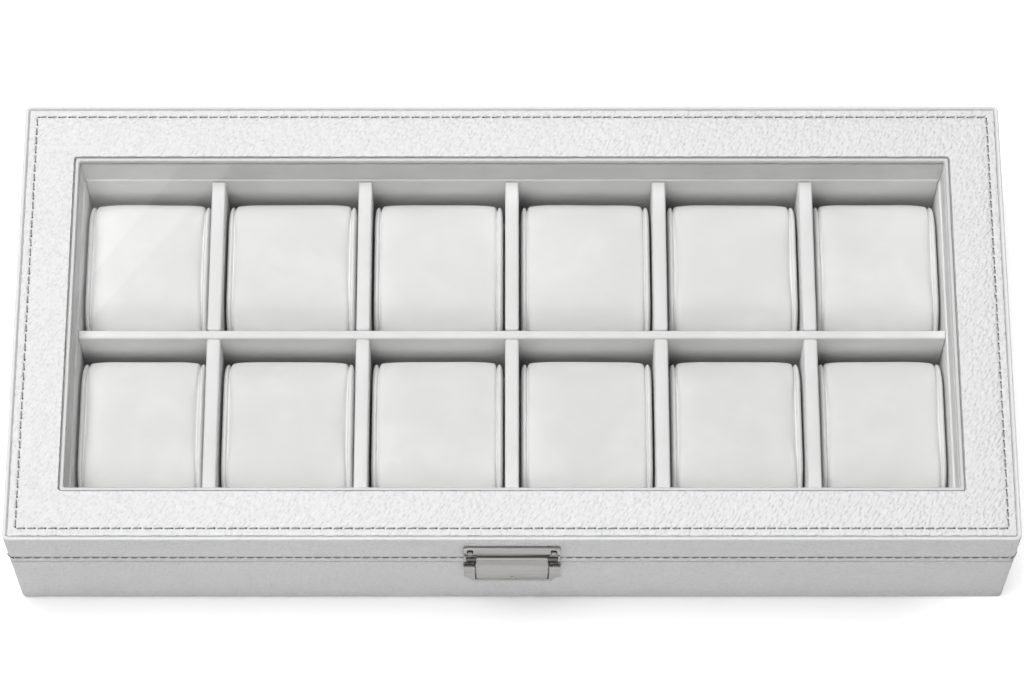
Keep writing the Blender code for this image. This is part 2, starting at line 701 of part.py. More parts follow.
def latch_upper_plate():
    """A pressed plate that leans out towards its foot, with a rib across it and lugs that hold the pin."""
    half = LATCH_WIDTH / 2
    lean = UPPER_PLATE_FOOT_DEPTH - UPPER_PLATE_TOP_DEPTH

    def face(share):
        return UPPER_PLATE_TOP_DEPTH + lean * share, LATCH_TOP - UPPER_PLATE_HEIGHT * share

    rib_top = face(UPPER_RIB_TOP_SHARE)
    rib_foot = face(UPPER_RIB_FOOT_SHARE)
    rib_middle = face((UPPER_RIB_TOP_SHARE + UPPER_RIB_FOOT_SHARE) / 2)
    lug = arc_points((LATCH_PIN_DEPTH, LATCH_PIN_Z), LUG_RADIUS, 20, -90, BARREL_STEPS // 2)
    outline = [
        (HARDWARE_GAP, LATCH_TOP), face(0), rib_top, rib_middle, rib_foot, face(1),
        *lug, (HARDWARE_GAP, LATCH_PIN_Z - LUG_RADIUS),
    ]
    bm = bmesh.new()
    prism_along_x(bm, depth_to_y(outline), -half, half)
    press_rib(bm, rib_middle)
    corners = [
        edge for edge in bm.edges
        if all(vert.co.z > LATCH_TOP - SEAT_GAP for vert in edge.verts)
        and all(abs(vert.co.x) > half - SEAT_GAP for vert in edge.verts)
    ]
    round_edges(bm, corners, LATCH_CORNER_RADIUS)
    plate = finish("latch_upper_plate", bm, nickel_material, 30)
    bm = bmesh.new()
    reach = half - LUG_WIDTH
    block(
        bm,
        (-reach, FRONT_FACE - UPPER_PLATE_FOOT_DEPTH - UPPER_RIB_DEPTH - LUG_RADIUS - CUT_OVERRUN,
         LATCH_PIN_Z - LUG_RADIUS - CUT_OVERRUN),
        (reach, FRONT_FACE + CUT_OVERRUN, UPPER_FOOT),
    )
    cut(plate, finish("latch_upper_plate_opening", bm, None))
    bm = bmesh.new()
    bore = LATCH_PIN_RADIUS + LATCH_PIN_CLEARANCE
    pin = (LATCH_PIN_Y, LATCH_PIN_Z)
    rod_along_x(bm, pin, bore, -half - CUT_OVERRUN, half + CUT_OVERRUN, BARREL_STEPS)
    cut(plate, finish("latch_upper_plate_bore", bm, None))
    for side, x in (("left", -half + UPPER_SCREW_INSET), ("right", half - UPPER_SCREW_INSET)):
        bm = bmesh.new()
        rod_along_y(
            bm, (x, LATCH_TOP - UPPER_SCREW_DROP), SCREW_SHANK_RADIUS + SCREW_HOLE_CLEARANCE,
            FRONT_FACE - UPPER_PLATE_FOOT_DEPTH - CUT_OVERRUN, FRONT_FACE + CUT_OVERRUN, BARREL_STEPS,
        )
        cut(plate, finish(f"latch_upper_plate_{side}_hole", bm, None))
    soften(plate, LATCH_EDGE_RADIUS)
    return plate


def press_rib(bm, middle):
    """Presses the rib out of the upper plate's face over the flap, between the two screws."""
    reach = FLAP_WIDTH / 2 + FLAP_SIDE_CLEARANCE
    for x in (reach, reach + UPPER_RIB_FADE):
        for side in (-x, x):
            geometry = list(bm.verts) + list(bm.edges) + list(bm.faces)
            bmesh.ops.bisect_plane(bm, geom=geometry, plane_co=(side, 0, 0), plane_no=(1, 0, 0))
    ridge = [
        vert for vert in bm.verts
        if abs(vert.co.x) < reach + UPPER_RIB_FADE / 2
        and (vert.co.yz - Vector(depth_to_y([middle])[0])).length < UPPER_RIB_FADE / 2
    ]
    bmesh.ops.translate(bm, vec=(0, -UPPER_RIB_DEPTH, 0), verts=ridge)


def latch_flap():
    """The hasp: a bent sheet that rolls round the pin, bulges over the catch and tucks in at its foot."""
    half = FLAP_WIDTH / 2

    def place(share):
        return FLAP_SEAT_DEPTH + share[0] * FLAP_BULGE, LATCH_PIN_Z - share[1] * FLAP_DROP

    barrel = arc_points(
        (LATCH_PIN_DEPTH, LATCH_PIN_Z), FLAP_BARREL_RADIUS,
        FLAP_BARREL_END_TURN, FLAP_BARREL_START_TURN, BARREL_STEPS,
    )
    outline = barrel + [place(share) for share in FLAP_OUTER_SHARES + FLAP_INNER_SHARES]
    bm = bmesh.new()
    prism_along_x(bm, depth_to_y(outline), -half, half)
    flap = finish("latch_flap", bm, nickel_material, 30)
    bm = bmesh.new()
    bore = LATCH_PIN_RADIUS + LATCH_PIN_CLEARANCE
    pin = (LATCH_PIN_Y, LATCH_PIN_Z)
    rod_along_x(bm, pin, bore, -half - CUT_OVERRUN, half + CUT_OVERRUN, BARREL_STEPS)
    cut(flap, finish("latch_flap_bore", bm, None))
    soften(flap, LATCH_EDGE_RADIUS)
    return flap


def latch_pin():
    half = LATCH_WIDTH / 2 - LATCH_PIN_END_GAP
    bm = bmesh.new()
    rod_along_x(bm, (LATCH_PIN_Y, LATCH_PIN_Z), LATCH_PIN_RADIUS, -half, half, BARREL_STEPS)
    return finish("latch_pin", bm, nickel_material, 40)


def latch_lower_plate():
    """The catch plate: two raised ears with a channel between them for the flap, and a tongue below."""
    half = LATCH_WIDTH / 2
    tongue = LOWER_TONGUE_WIDTH / 2
    top = BODY_HEIGHT - HARDWARE_GAP
    ear_foot = top - LOWER_EAR_HEIGHT
    foot = ear_foot - LOWER_TONGUE_DROP
    radius = LATCH_CORNER_RADIUS
    outline = (
        [(half, top), (-half, top)]
        + arc_points((-half + radius, ear_foot + radius), radius, 180, 270, CORNER_STEPS)
        + arc_points((-tongue + radius, foot + radius), radius, 180, 270, CORNER_STEPS)
        + arc_points((tongue - radius, foot + radius), radius, 270, 360, CORNER_STEPS)
        + arc_points((half - radius, ear_foot + radius), radius, 270, 360, CORNER_STEPS)
    )
    bm = bmesh.new()
    face = bm.faces.new([bm.verts.new((x, FRONT_FACE - HARDWARE_GAP, z)) for x, z in outline])
    grown = bmesh.ops.extrude_face_region(bm, geom=[face])["geom"]
    moved = [item for item in grown if isinstance(item, bmesh.types.BMVert)]
    bmesh.ops.translate(bm, vec=(0, HARDWARE_GAP - LOWER_EAR_DEPTH, 0), verts=moved)
    plate = finish("latch_lower_plate", bm, nickel_material, 30)
    channel = FLAP_WIDTH / 2 + FLAP_SIDE_CLEARANCE
    bm = bmesh.new()
    block(
        bm,
        (-channel, FRONT_FACE - LOWER_EAR_DEPTH - CUT_OVERRUN, FLAP_FOOT - FLAP_FOOT_CLEARANCE),
        (channel, FRONT_FACE - HARDWARE_GAP - LOWER_PLATE_THICKNESS, top + CUT_OVERRUN),
    )
    cut(plate, finish("latch_lower_plate_channel", bm, None))
    ear_middle = (channel + half) / 2
    hole_y = FRONT_FACE - HARDWARE_GAP - (LOWER_EAR_DEPTH - HARDWARE_GAP) / 2
    for side, x in (("left", -ear_middle), ("right", ear_middle)):
        bm = bmesh.new()
        shape = Matrix.Translation((x, hole_y, top)) @ Matrix.Diagonal(
            (EAR_HOLE_LENGTH / EAR_HOLE_WIDTH, 1.0, 1.0, 1.0)
        )
        bmesh.ops.create_cone(
            bm, cap_ends=True, segments=BARREL_STEPS, radius1=EAR_HOLE_WIDTH / 2, radius2=EAR_HOLE_WIDTH / 2,
            depth=2 * EAR_HOLE_DEPTH, matrix=shape,
        )
        cut(plate, finish(f"latch_lower_plate_{side}_hole", bm, None))
        bm = bmesh.new()
        screw_x = math.copysign(LOWER_SCREW_SPREAD, x)
        rod_along_y(
            bm, (screw_x, top - LOWER_SCREW_DROP), SCREW_HEAD_RADIUS + SCREW_HOLE_CLEARANCE,
            FRONT_FACE - LOWER_EAR_DEPTH - CUT_OVERRUN, FRONT_FACE + CUT_OVERRUN, BARREL_STEPS,
        )
        cut(plate, finish(f"latch_lower_plate_{side}_screw_hole", bm, None))
    soften(plate, LATCH_EDGE_RADIUS)
    return plate


def latch_upper_screws():
    """Domed screws in the upper plate, whose heads stand off its leaning face."""
    lean = (UPPER_PLATE_FOOT_DEPTH - UPPER_PLATE_TOP_DEPTH) / UPPER_PLATE_HEIGHT
    plate_face = UPPER_PLATE_TOP_DEPTH + lean * (UPPER_SCREW_DROP + SCREW_HEAD_RADIUS)
    head = FRONT_FACE - plate_face - HARDWARE_GAP
    foot = FRONT_FACE - HARDWARE_GAP
    z = LATCH_TOP - UPPER_SCREW_DROP
    dome = [(SCREW_HEAD_RADIUS * out, head - SCREW_HEAD_HEIGHT * up) for out, up in SCREW_DOME_SHARES]
    profile = [(0, foot), (SCREW_SHANK_RADIUS, foot), (SCREW_SHANK_RADIUS, head), (SCREW_HEAD_RADIUS, head)]
    screws = []
    for side, sign in (("left", -1), ("right", 1)):
        x = sign * (LATCH_WIDTH / 2 - UPPER_SCREW_INSET)
        bm = bmesh.new()
        turned_profile(bm, profile + dome, x, z)
        screw = finish(f"latch_upper_screw_{side}", bm, nickel_material, 40)
        cut(screw, screw_slot(f"latch_upper_screw_{side}_slot", x, head - SCREW_HEAD_HEIGHT, z))
        screws.append(screw)
    return screws


def latch_lower_screws():
    """Flat-headed screws, flush in the lower plate's channel under the flap."""
    front = FRONT_FACE - HARDWARE_GAP - LOWER_PLATE_THICKNESS
    z = BODY_HEIGHT - HARDWARE_GAP - LOWER_SCREW_DROP
    for side, x in (("left", -LOWER_SCREW_SPREAD), ("right", LOWER_SCREW_SPREAD)):
        bm = bmesh.new()
        rod_along_y(bm, (x, z), SCREW_HEAD_RADIUS, front, FRONT_FACE - HARDWARE_GAP, ROUND_STEPS)
        screw = finish(f"latch_lower_screw_{side}", bm, nickel_material, 40)
        cut(screw, screw_slot(f"latch_lower_screw_{side}_slot", x, front, z))


def turned_profile(bm, profile, x, z):
    """A piece turned about an axis along Y through (x, z), from a profile of (radius, y)."""
    verts = [bm.verts.new((x + radius, y, z)) for radius, y in profile]
    edges = [bm.edges.new(pair) for pair in zip(verts, verts[1:])]
    bmesh.ops.spin(
        bm, geom=verts + edges, cent=(x, 0, z), axis=(0, 1, 0), angle=math.radians(360),
        steps=ROUND_STEPS, use_merge=True,
    )
    bmesh.ops.remove_doubles(bm, verts=bm.verts, dist=SEAT_GAP / 100)


def screw_slot(name, x, face, z):
    bm = bmesh.new()
    long_half = SCREW_SLOT_LENGTH / 2
    short_half = SCREW_SLOT_WIDTH / 2
    outline = [
        (short_half, short_half), (short_half, long_half),
        (-short_half, long_half), (-short_half, short_half),
        (-long_half, short_half), (-long_half, -short_half),
        (-short_half, -short_half), (-short_half, -long_half),
        (short_half, -long_half), (short_half, -short_half),
        (long_half, -short_half), (long_half, short_half),
    ]
    verts = [bm.verts.new((x + a, face - CUT_OVERRUN, z + b)) for a, b in outline]
    grown = bmesh.ops.extrude_face_region(bm, geom=[bm.faces.new(verts)])["geom"]
    moved = [item for item in grown if isinstance(item, bmesh.types.BMVert)]
    bmesh.ops.translate(bm, vec=(0, CUT_OVERRUN + SCREW_SLOT_DEPTH, 0), verts=moved)
    return finish(name, bm, None)


def hinge_leaf(name, x, up):
    """One leaf with its knuckles: up is 1 for the lid's, which has the middle one, and -1 for the body's."""
    half = HINGE_LENGTH / 2
    face = BACK_FACE + HARDWARE_GAP
    back = face + HINGE_LEAF_THICKNESS
    far = HINGE_Z + up * HINGE_LEAF_HEIGHT
    sweep = 360 - math.degrees(math.acos(1 - HINGE_LEAF_THICKNESS / HINGE_BARREL_RADIUS))
    barrel = arc_points((HINGE_Y, HINGE_Z), HINGE_BARREL_RADIUS, 180, 180 + up * sweep, BARREL_STEPS)
    bm = bmesh.new()
    prism_along_x(bm, [(face, far)] + barrel + [(back, far)], x - half, x + half)
    corners = [
        edge for edge in bm.edges
        if all(abs(vert.co.z - far) < SEAT_GAP for vert in edge.verts)
        and edge.verts[0].co.x == edge.verts[1].co.x
    ]
    round_edges(bm, corners, HINGE_CORNER_RADIUS)
    leaf = finish(name, bm, nickel_material, 30)
    middle = HINGE_LENGTH * HINGE_MIDDLE_SHARE / 2
    if up < 0:
        openings = [(x - middle - HINGE_KNUCKLE_GAP / 2, x + middle + HINGE_KNUCKLE_GAP / 2)]
    else:
        openings = [
            (x - half - CUT_OVERRUN, x - middle + HINGE_KNUCKLE_GAP / 2),
            (x + middle - HINGE_KNUCKLE_GAP / 2, x + half + CUT_OVERRUN),
        ]
    reach = HINGE_BARREL_RADIUS + HINGE_KNUCKLE_GAP
    for index, (low, high) in enumerate(openings):
        bm = bmesh.new()
        block(
            bm,
            (low, BACK_FACE - CUT_OVERRUN, HINGE_Z - reach),
            (high, HINGE_Y + HINGE_BARREL_RADIUS + CUT_OVERRUN, HINGE_Z + reach),
        )
        cut(leaf, finish(f"{name}_opening_{index + 1}", bm, None))
    bm = bmesh.new()
    bore = HINGE_PIN_RADIUS + HINGE_PIN_CLEARANCE
    low = x - half - CUT_OVERRUN
    rod_along_x(bm, (HINGE_Y, HINGE_Z), bore, low, x + half + CUT_OVERRUN, BARREL_STEPS)
    cut(leaf, finish(name + "_bore", bm, None))
    return leaf


def hinges():
    """Two small butt hinges on the outside of the back. The lid's leaves are returned."""
    lid_leaves = []
    for side, x in (("left", -HINGE_SPREAD), ("right", HINGE_SPREAD)):
        hinge_leaf(f"hinge_{side}_body_leaf", x, -1)
        lid_leaves.append(hinge_leaf(f"hinge_{side}_lid_leaf", x, 1))
        half = HINGE_LENGTH / 2 + HINGE_PIN_HEAD
        bm = bmesh.new()
        rod_along_x(bm, (HINGE_Y, HINGE_Z), HINGE_PIN_RADIUS, x - half, x + half, BARREL_STEPS)
        finish(f"hinge_{side}_pin", bm, nickel_material, 40)
    return lid_leaves


def axis_marker(name, place, parent=None):
    """An empty on a joint's axis, which carries the pieces that turn there."""
    marker = bpy.data.objects.new(name, None)
    bpy.context.scene.collection.objects.link(marker)
    marker.location = place
    if parent is not None:
        attach([marker], parent)
    return marker


def attach(pieces, parent):
    """Parents the pieces and leaves them where they are."""
    bpy.context.view_layer.update()
    for piece in pieces:
        piece.parent = parent
        piece.matrix_parent_inverse = parent.matrix_world.inverted()


def build_body():
    base_felt()
    base_wrap()
    base_boards()
    lining()
    dividers()
    pillows()
    latch_lower_plate()
    latch_lower_screws()


def build_lid():
    """The lid's pieces hang on an empty at the hinge, and the flap on one at its pin."""
    pieces = [lid_wrap(), *lid_rails(), *lid_lining(), lid_panel(), window_trim(), glass_pane()]
    pieces += [latch_upper_plate(), latch_pin(), *latch_upper_screws(), *hinges()]
    lid_axis = axis_marker("lid_hinge_axis", (0, HINGE_Y, HINGE_Z))
    attach(pieces, lid_axis)
    flap_axis = axis_marker("latch_flap_axis", (0, LATCH_PIN_Y, LATCH_PIN_Z), lid_axis)
    attach([latch_flap()], flap_axis)


def main():
    clear_scene()
    build_body()
    build_lid()


main()
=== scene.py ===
"""Looks of a white leather watch box: a stitched lid with a glass window over twelve soft pillows."""

import json
import math
import random
from collections import namedtuple
from math import radians

import bmesh
import bpy
from mathutils import Matrix, Vector, noise


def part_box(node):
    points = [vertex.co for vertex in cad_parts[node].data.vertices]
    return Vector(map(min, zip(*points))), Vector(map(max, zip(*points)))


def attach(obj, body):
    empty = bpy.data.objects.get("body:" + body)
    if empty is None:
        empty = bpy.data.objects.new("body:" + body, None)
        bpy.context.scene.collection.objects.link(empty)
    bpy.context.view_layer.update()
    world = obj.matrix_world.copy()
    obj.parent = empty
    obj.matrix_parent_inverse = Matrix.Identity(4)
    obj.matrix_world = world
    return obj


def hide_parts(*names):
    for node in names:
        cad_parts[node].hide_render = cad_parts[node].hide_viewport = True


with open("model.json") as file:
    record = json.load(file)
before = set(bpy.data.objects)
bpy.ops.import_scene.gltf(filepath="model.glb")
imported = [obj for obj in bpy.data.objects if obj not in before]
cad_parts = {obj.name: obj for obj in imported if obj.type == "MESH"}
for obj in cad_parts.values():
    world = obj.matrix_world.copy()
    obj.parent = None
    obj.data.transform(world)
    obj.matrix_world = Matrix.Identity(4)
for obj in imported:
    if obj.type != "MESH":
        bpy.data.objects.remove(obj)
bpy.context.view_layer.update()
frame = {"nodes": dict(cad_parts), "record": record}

Rect = namedtuple("Rect", "left right front back")

# Camera, in metres and degrees, as it stood for the photo
CAMERA_PLACE = (0.0, -0.607, 1.4653)
CAMERA_TILT = 23.118
CAMERA_LENS = 133.34
CAMERA_SENSOR = 36.0

# Leather and boards
LEATHER = 0.001
INNER_LEATHER = 0.0008
GLUE = 0.0003
FOLD = 0.0009
LEAST_CORNER = 0.0002
PARTING_FOLD = 0.0003
PARED_HEIGHT = 0.0011
PARED_DEPTH = 0.0004
OUTER_CORNER = 0.0022
INNER_CORNER = 0.0008
RIM_WIDTH = 0.0014
RIM_DEPTH = 0.0024
FELT_INSET = 0.008

# The padded border of the window
PANEL_CORNER = 0.0008
PANEL_ROLL = 0.0007
GROOVE_DEPTH = 0.0011
GROOVE_FILL_SHARE = 0.85
WINDOW_CORNER = 0.0012
WINDOW_ROLL = 0.0005
WINDOW_GAP = 0.0006
FRONT_WINDOW_GAP = 0.00015
STITCH_INSET = 0.00498
STITCH_PITCH = 0.00415
STITCH_LENGTH = 0.0031
FURROW_HALF = 0.0009
FURROW_DEPTH = 0.00022
PANEL_FURROW = ((-1.0, 0.0), (-0.5, 0.65), (0.0, 1.0), (0.5, 0.65), (1.0, 0.0))
PANEL_CROWN = 0.00018
PANEL_FALL = 0.00005
STRETCH_FADE = 0.0002
PANEL_STEPS = 6
SIDE_STITCH_RISE = 0.0041
SIDE_STITCH_PITCH = 0.00385
SIDE_STITCH_LENGTH = 0.0033
SIDE_FURROW_DEPTH = 0.00042
SIDE_FURROW = ((-1.0, 0.0), (-0.5, 0.6), (0.0, 1.0), (0.5, 0.6), (1.0, 0.0))
THREAD_HALF_WIDTH = 0.00034
SIDE_THREAD_HALF_WIDTH = 0.0006
SIDE_THREAD_STAND = 0.00045
HOLE_RADIUS = 0.00055
STITCH_SEED = 7
STITCH_SLANT_SPREAD = 2
STITCH_LENGTH_SPREAD = (0.94, 1.05)
STITCH_SLANT = 3
SIDE_STITCH_SLANT = 8

TRIM_RIDGE = 0.0012
TRIM_SOFTNESS = 0.00025

# Hinge screws
HINGE_SCREW_SPREAD = 0.0085
HINGE_SCREW_SHIFT = 0.0012
HINGE_LEAF_FACE = 0.00095
SCREW_RADIUS = 0.0015
SCREW_HEIGHT = 0.0006
SCREW_SLOT = 0.0004
SCREW_SLOT_REACH = 0.7
SCREW_SLOT_DEPTH = 0.6
SCREW_TURN = 20

# The latch
METAL_SHARP = 32.0
HEAD_SEAT = 0.0006
HEAD_RIM = 0.00045
HEAD_DOME = 0.0009
HEAD_SHARE = 0.8
HEAD_TURNS = [radians(turn) for turn in (15, 30, 45, 60, 72)]
MARK_SHARE = 0.2
BOSS_SIZE = (0.0011, 0.0006, 0.0009)
BOSS_RISE = 0.0041
BOSS_DEPTH = 0.0011

# The tray
CROSS_DIVIDERS = range(1, 6)
DIVIDER_EDGE = 0.0011
LINING_EDGE = 0.0009
SEAM = 0.0001

# The pillows
SEAM_INSET = 0.0026
SEAM_HOLD = 0.0003
SMOOTHING_PASSES = 2
PILLOW_CORNER = 0.0165
PILLOW_COLUMNS = range(1, 7)
PILLOW_END = (
    (0.0, 0.0145), (0.0, 0.009), (0.0001, 0.0052), (0.0004, 0.0028), (0.001, 0.0015), (0.0017, 0.0012),
    (0.0022, 0.0016), (SEAM_INSET, 0.0036), (0.0029, 0.0016), (0.0036, 0.0008), (0.0052, 0.0004),
    (0.0082, 0.0001), (0.0118, 0.0), (0.016, 0.0), (0.0206, 0.0),
)
SIMULATION_SCALE = 10.0
SIMULATION_PRESSURE = 4.0
SIMULATION_FRAMES = 20
COVER_SWELL = 0.0009
DENT = 0.00022
SMALL_DENT_SHARE = 0.4
DENTS_PER_METRE = 45.0
SMALL_DENTS_PER_METRE = 130.0
DENT_RISE = 0.01
DENT_FADE = 0.004
END_DENT_SHARE = 0.15

# Patterns. Shares are of the pattern's own size, or of its height.
PEBBLE_SIZE = 0.00135
PEBBLE_SMOOTHNESS = 0.8
PEBBLE_FOOT = 0.75
PEBBLE_TOP = 0.05
CREASE_START = 0.45
CREASE_END = 0.75
PAINTED_CREASE_SHADE = 0.975
SMALL_PEBBLE_SHARE = 0.06
PORE_SHARE = 0.2
GRAIN_TURN = 52
GRAIN_STRETCH = (1.45, 0.8, 1.0)
GRAIN_WANDER = 0.5
PATCH_SHARE = 0.35
COLOUR_A, COLOUR_B, MIXED_COLOUR = 6, 7, 2
NODE_SPACING = 220
NODES_IN_A_ROW = 8

# The tray velvet's painted shade, darker towards the bottom, by its depth under the lining's top
SHADE_START_DEPTH = 0.006
SHADE_FULL_DEPTH = 0.03
PAINTED_SHADE_SHARE = 0.56

# The floor, and how bright it, the world and the lamps are
FLOOR_SIZE = 4.0
FLOOR_DROP = 0.0002
FLOOR_LIFT = 0.23
# Painted light on the floor to the right of the box, which takes away the box's shadow there, from its start
# to its end in X
PAINTED_SIDE_LIGHT = 0.36
PAINTED_SIDE_LIGHT_START = 0.15
PAINTED_SIDE_LIGHT_END = 0.205
MIRRORED_LIFT = 0.1
FILL_STRENGTH = 0.07
DARK_CEILING = 0.1
BRIGHT_CEILING = 1.3
# The world's dim patch, as axis, middle and half size, all over the way's rise
DIM_PATCH = (("X", 0.0, 0.14), ("Y", 0.4325, 0.055))
DIM_PATCH_SOFTNESS = 0.012
STEEPEST = 0.01
HORIZON_FOOT = (-0.06, 0.0)
HORIZON_TOP = (0.17, 0.08)
# Each lamp's place, size and power in watts
LAMPS = {
    "overhead": ((-0.32, 0.08, 1.75), (1.2, 1.0), 35.5),
    "front": ((0.1, -1.6, 0.75), (1.6, 0.5), 4.0),
}
# Where each card's near edge starts and ends in the glass, its reach, height and strength
CARDS = {
    "bright_panel": ((-0.1339, 0.0713), (-0.1743, 0.0131), 0.12, 1.15, 1.2),
    "dim_panel": ((-0.1146, 0.0699), (-0.1716, -0.0023), 0.06, 1.2, 0.65),
}
CARD_STRETCH = 1.6

SAME_PLACE = 1e-6
Section = namedtuple("Section", "rect z radius", defaults=[INNER_CORNER])


def inset(rect, distance):
    return Rect(rect.left + distance, rect.right - distance, rect.front + distance, rect.back - distance)


def plan_of(*nodes):
    """The plan that the nodes cover together."""
    corners = [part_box(node) for node in nodes]
    return Rect(
        min(low.x for low, high in corners), max(high.x for low, high in corners),
        min(low.y for low, high in corners), max(high.y for low, high in corners),
    )


def room_between(prefix):
    """The plan that four nodes with a common prefix leave free between them."""
    return Rect(
        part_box(prefix + "left")[1].x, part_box(prefix + "right")[0].x,
        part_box(prefix + "front")[1].y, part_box(prefix + "back")[0].y,
    )


def foot_of(node):
    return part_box(node)[0].z


def top_of(node):
    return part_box(node)[1].z


# Places that the frame gives
LID_PLAN = plan_of("lid_leather_wrap")
LID_FOOT = foot_of("lid_leather_wrap")
LID_TOP = top_of("lid_leather_wrap")
BODY_PLAN = plan_of("base_leather_wrap")
BODY_FOOT = foot_of("base_leather_wrap")
BODY_TOP = top_of("base_leather_wrap")
PANEL_TOP = top_of("lid_panel")
PANEL_FOOT = foot_of("lid_panel")
TRIM_PLAN = plan_of("window_trim")
VIEW = room_between("lid_lining_")
RAIL_INSIDE = room_between("lid_rail_")
LINING_OUTSIDE = plan_of("lining_left", "lining_right", "lining_front", "lining_back")
CAVITY = room_between("lining_")
LINING_FOOT = foot_of("lining_left")
LINING_TOP = top_of("lining_left")


def add_node(tree, kind, sources=None, **settings):
    """A shader node. sources gives its sockets, by name or number, a value or another node's output."""
    row, column = divmod(len(tree.nodes), NODES_IN_A_ROW)
    node = tree.nodes.new("ShaderNode" + kind)
    node.location = (column * NODE_SPACING, -row * NODE_SPACING)
    for name, value in settings.items():
        setattr(node, name, value)
    for key, source in (sources or {}).items():
        if isinstance(source, bpy.types.NodeSocket):
            tree.links.new(source, node.inputs[key])
        else:
            node.inputs[key].default_value = source
    return node


def calc(tree, operation, *values):
    """The result of a Math node on values or sockets."""
    return add_node(tree, "Math", dict(enumerate(values)), operation=operation).outputs[0]


def new_group(name, **sizes):
    """A shader node group that takes a vector and named sizes, with underscores for spaces."""
    group = bpy.data.node_groups.new(name, "ShaderNodeTree")
    group.interface.new_socket("Vector", in_out="INPUT", socket_type="NodeSocketVector")
    for label, value in sizes.items():
        label = label.replace("_", " ")
        socket = group.interface.new_socket(label, in_out="INPUT", socket_type="NodeSocketFloat")
        socket.default_value = value
    source = group.nodes.new("NodeGroupInput")
    source.location = (-NODE_SPACING, 0)
    return group, source.outputs


def give_results(group, **results):
    """Ends a group with the values that it gives."""
    for label in results:
        group.interface.new_socket(label, in_out="OUTPUT", socket_type="NodeSocketFloat")
    sink = group.nodes.new("NodeGroupOutput")
    sink.location = (NODES_IN_A_ROW * NODE_SPACING, 0)
    for label, value in results.items():
        group.links.new(value, sink.inputs[label])
    return group


def frequency(group, size, share):
    """The scale that makes a texture's cells that size times the share."""
    return calc(group, "DIVIDE", 1.0 / share, size)


def ramp(tree, value, start, end):
    """A soft step from 0 at start to 1 at end."""
    sources = {"Value": value, "From Min": start, "From Max": end}
    return add_node(tree, "MapRange", sources, interpolation_type="SMOOTHSTEP").outputs["Result"]


def vector_calc(group, operation, first, second):
    sources = {0: first, "Scale" if operation == "SCALE" else 1: second}
    return add_node(group, "VectorMath", sources, operation=operation).outputs["Vector"]


def noise_texture(group, vector, size, share=1.0, **settings):
    """Noise whose blots have a size times a share."""
    sources = {"Vector": vector, "Scale": frequency(group, size, share), **settings}
    return add_node(group, "TexNoise", sources).outputs


def pebble_grain_group():
    """Pressed leather grain: uneven pebbles between fine creases, with pores on them."""
    group, given = new_group("pebble_grain", Pebble_Size=PEBBLE_SIZE, Wander=GRAIN_WANDER)
    vector, size = given["Vector"], given["Pebble Size"]
    warp = noise_texture(group, vector, size, 3.0, Detail=2.0)
    centred = vector_calc(group, "SUBTRACT", warp["Color"], (0.5, 0.5, 0.5))
    reach = calc(group, "MULTIPLY", size, given["Wander"])
    pushed = vector_calc(group, "SCALE", centred, reach)
    wandered = vector_calc(group, "ADD", vector, pushed)
    distances = []
    for share in (1.0, 0.5):
        sources = {
            "Vector": wandered, "Scale": frequency(group, size, share), "Smoothness": PEBBLE_SMOOTHNESS,
        }
        cells = add_node(group, "TexVoronoi", sources, feature="SMOOTH_F1")
        distances.append(cells.outputs["Distance"])
    pores = noise_texture(group, vector, size, 0.3, Detail=3.0, Roughness=0.6)
    big = ramp(group, distances[0], PEBBLE_FOOT, PEBBLE_TOP)
    small = ramp(group, distances[1], PEBBLE_FOOT, PEBBLE_TOP)
    crease = ramp(group, distances[0], CREASE_START, CREASE_END)
    mixed = calc(group, "MULTIPLY_ADD", small, SMALL_PEBBLE_SHARE, big)
    high = calc(group, "MULTIPLY_ADD", pores["Fac"], PORE_SHARE, mixed)
    return give_results(group, Height=high, Crease=crease)


def nap_group():
    """Short pile: fine fibres, brushed this way and that in soft patches."""
    group, given = new_group("short_nap", Fibre_Size=0.00035, Patch_Size=0.011)
    fibres = noise_texture(group, given["Vector"], given["Fibre Size"], Detail=3.0, Roughness=0.65)
    patches = noise_texture(group, given["Vector"], given["Patch Size"], Detail=2.0, Distortion=0.6)
    patch = ramp(group, patches["Fac"], 0.35, 0.68)
    lifted = calc(group, "MULTIPLY_ADD", patch, PATCH_SHARE, fibres["Fac"])
    return give_results(group, Height=lifted, Patch=patch)


def clouds_group():
    """Slow change of tone over a surface, from handling and uneven dye."""
    group, given = new_group("slow_clouds", Cloud_Size=0.05)
    settings = {"Detail": 4.0, "Roughness": 0.55, "Distortion": 0.3}
    clouds = noise_texture(group, given["Vector"], given["Cloud Size"], **settings)
    return give_results(group, Cloud=ramp(group, clouds["Fac"], 0.3, 0.7))


def drawn_lines_group():
    """Fine lines that polishing leaves along X on metal."""
    group, given = new_group("drawn_lines", Line_Size=0.00012, Line_Length=0.02)
    along = frequency(group, given["Line Length"], 1.0)
    across = frequency(group, given["Line Size"], 1.0)
    scale = add_node(group, "CombineXYZ", {"X": along, "Y": across, "Z": across})
    stretched = vector_calc(group, "MULTIPLY", given["Vector"], scale.outputs["Vector"])
    lines = add_node(group, "TexNoise", {"Vector": stretched, "Scale": 1.0, "Detail": 2.0})
    return give_results(group, Height=lines.outputs["Fac"])


GROUPS = {
    "pebble": pebble_grain_group(),
    "nap": nap_group(),
    "clouds": clouds_group(),
    "lines": drawn_lines_group(),
}


def start_material(name, **sockets):
    """A material with its Principled shader set, and the object's own coordinates to pattern it by."""
    material = bpy.data.materials.new(name)
    material.use_nodes = True
    tree = material.node_tree
    shader = tree.nodes["Principled BSDF"]
    for label, value in sockets.items():
        shader.inputs[label.replace("_", " ")].default_value = value
    return material, tree, shader, add_node(tree, "TexCoord").outputs["Object"]


def use_group(tree, label, vector, **sizes):
    """What a group gives. Its sizes are named with underscores for spaces."""
    sources = {"Vector": vector, **{name.replace("_", " "): value for name, value in sizes.items()}}
    return add_node(tree, "Group", sources, node_tree=GROUPS[label]).outputs


def shaded(colour, share):
    return tuple(share * part for part in colour)


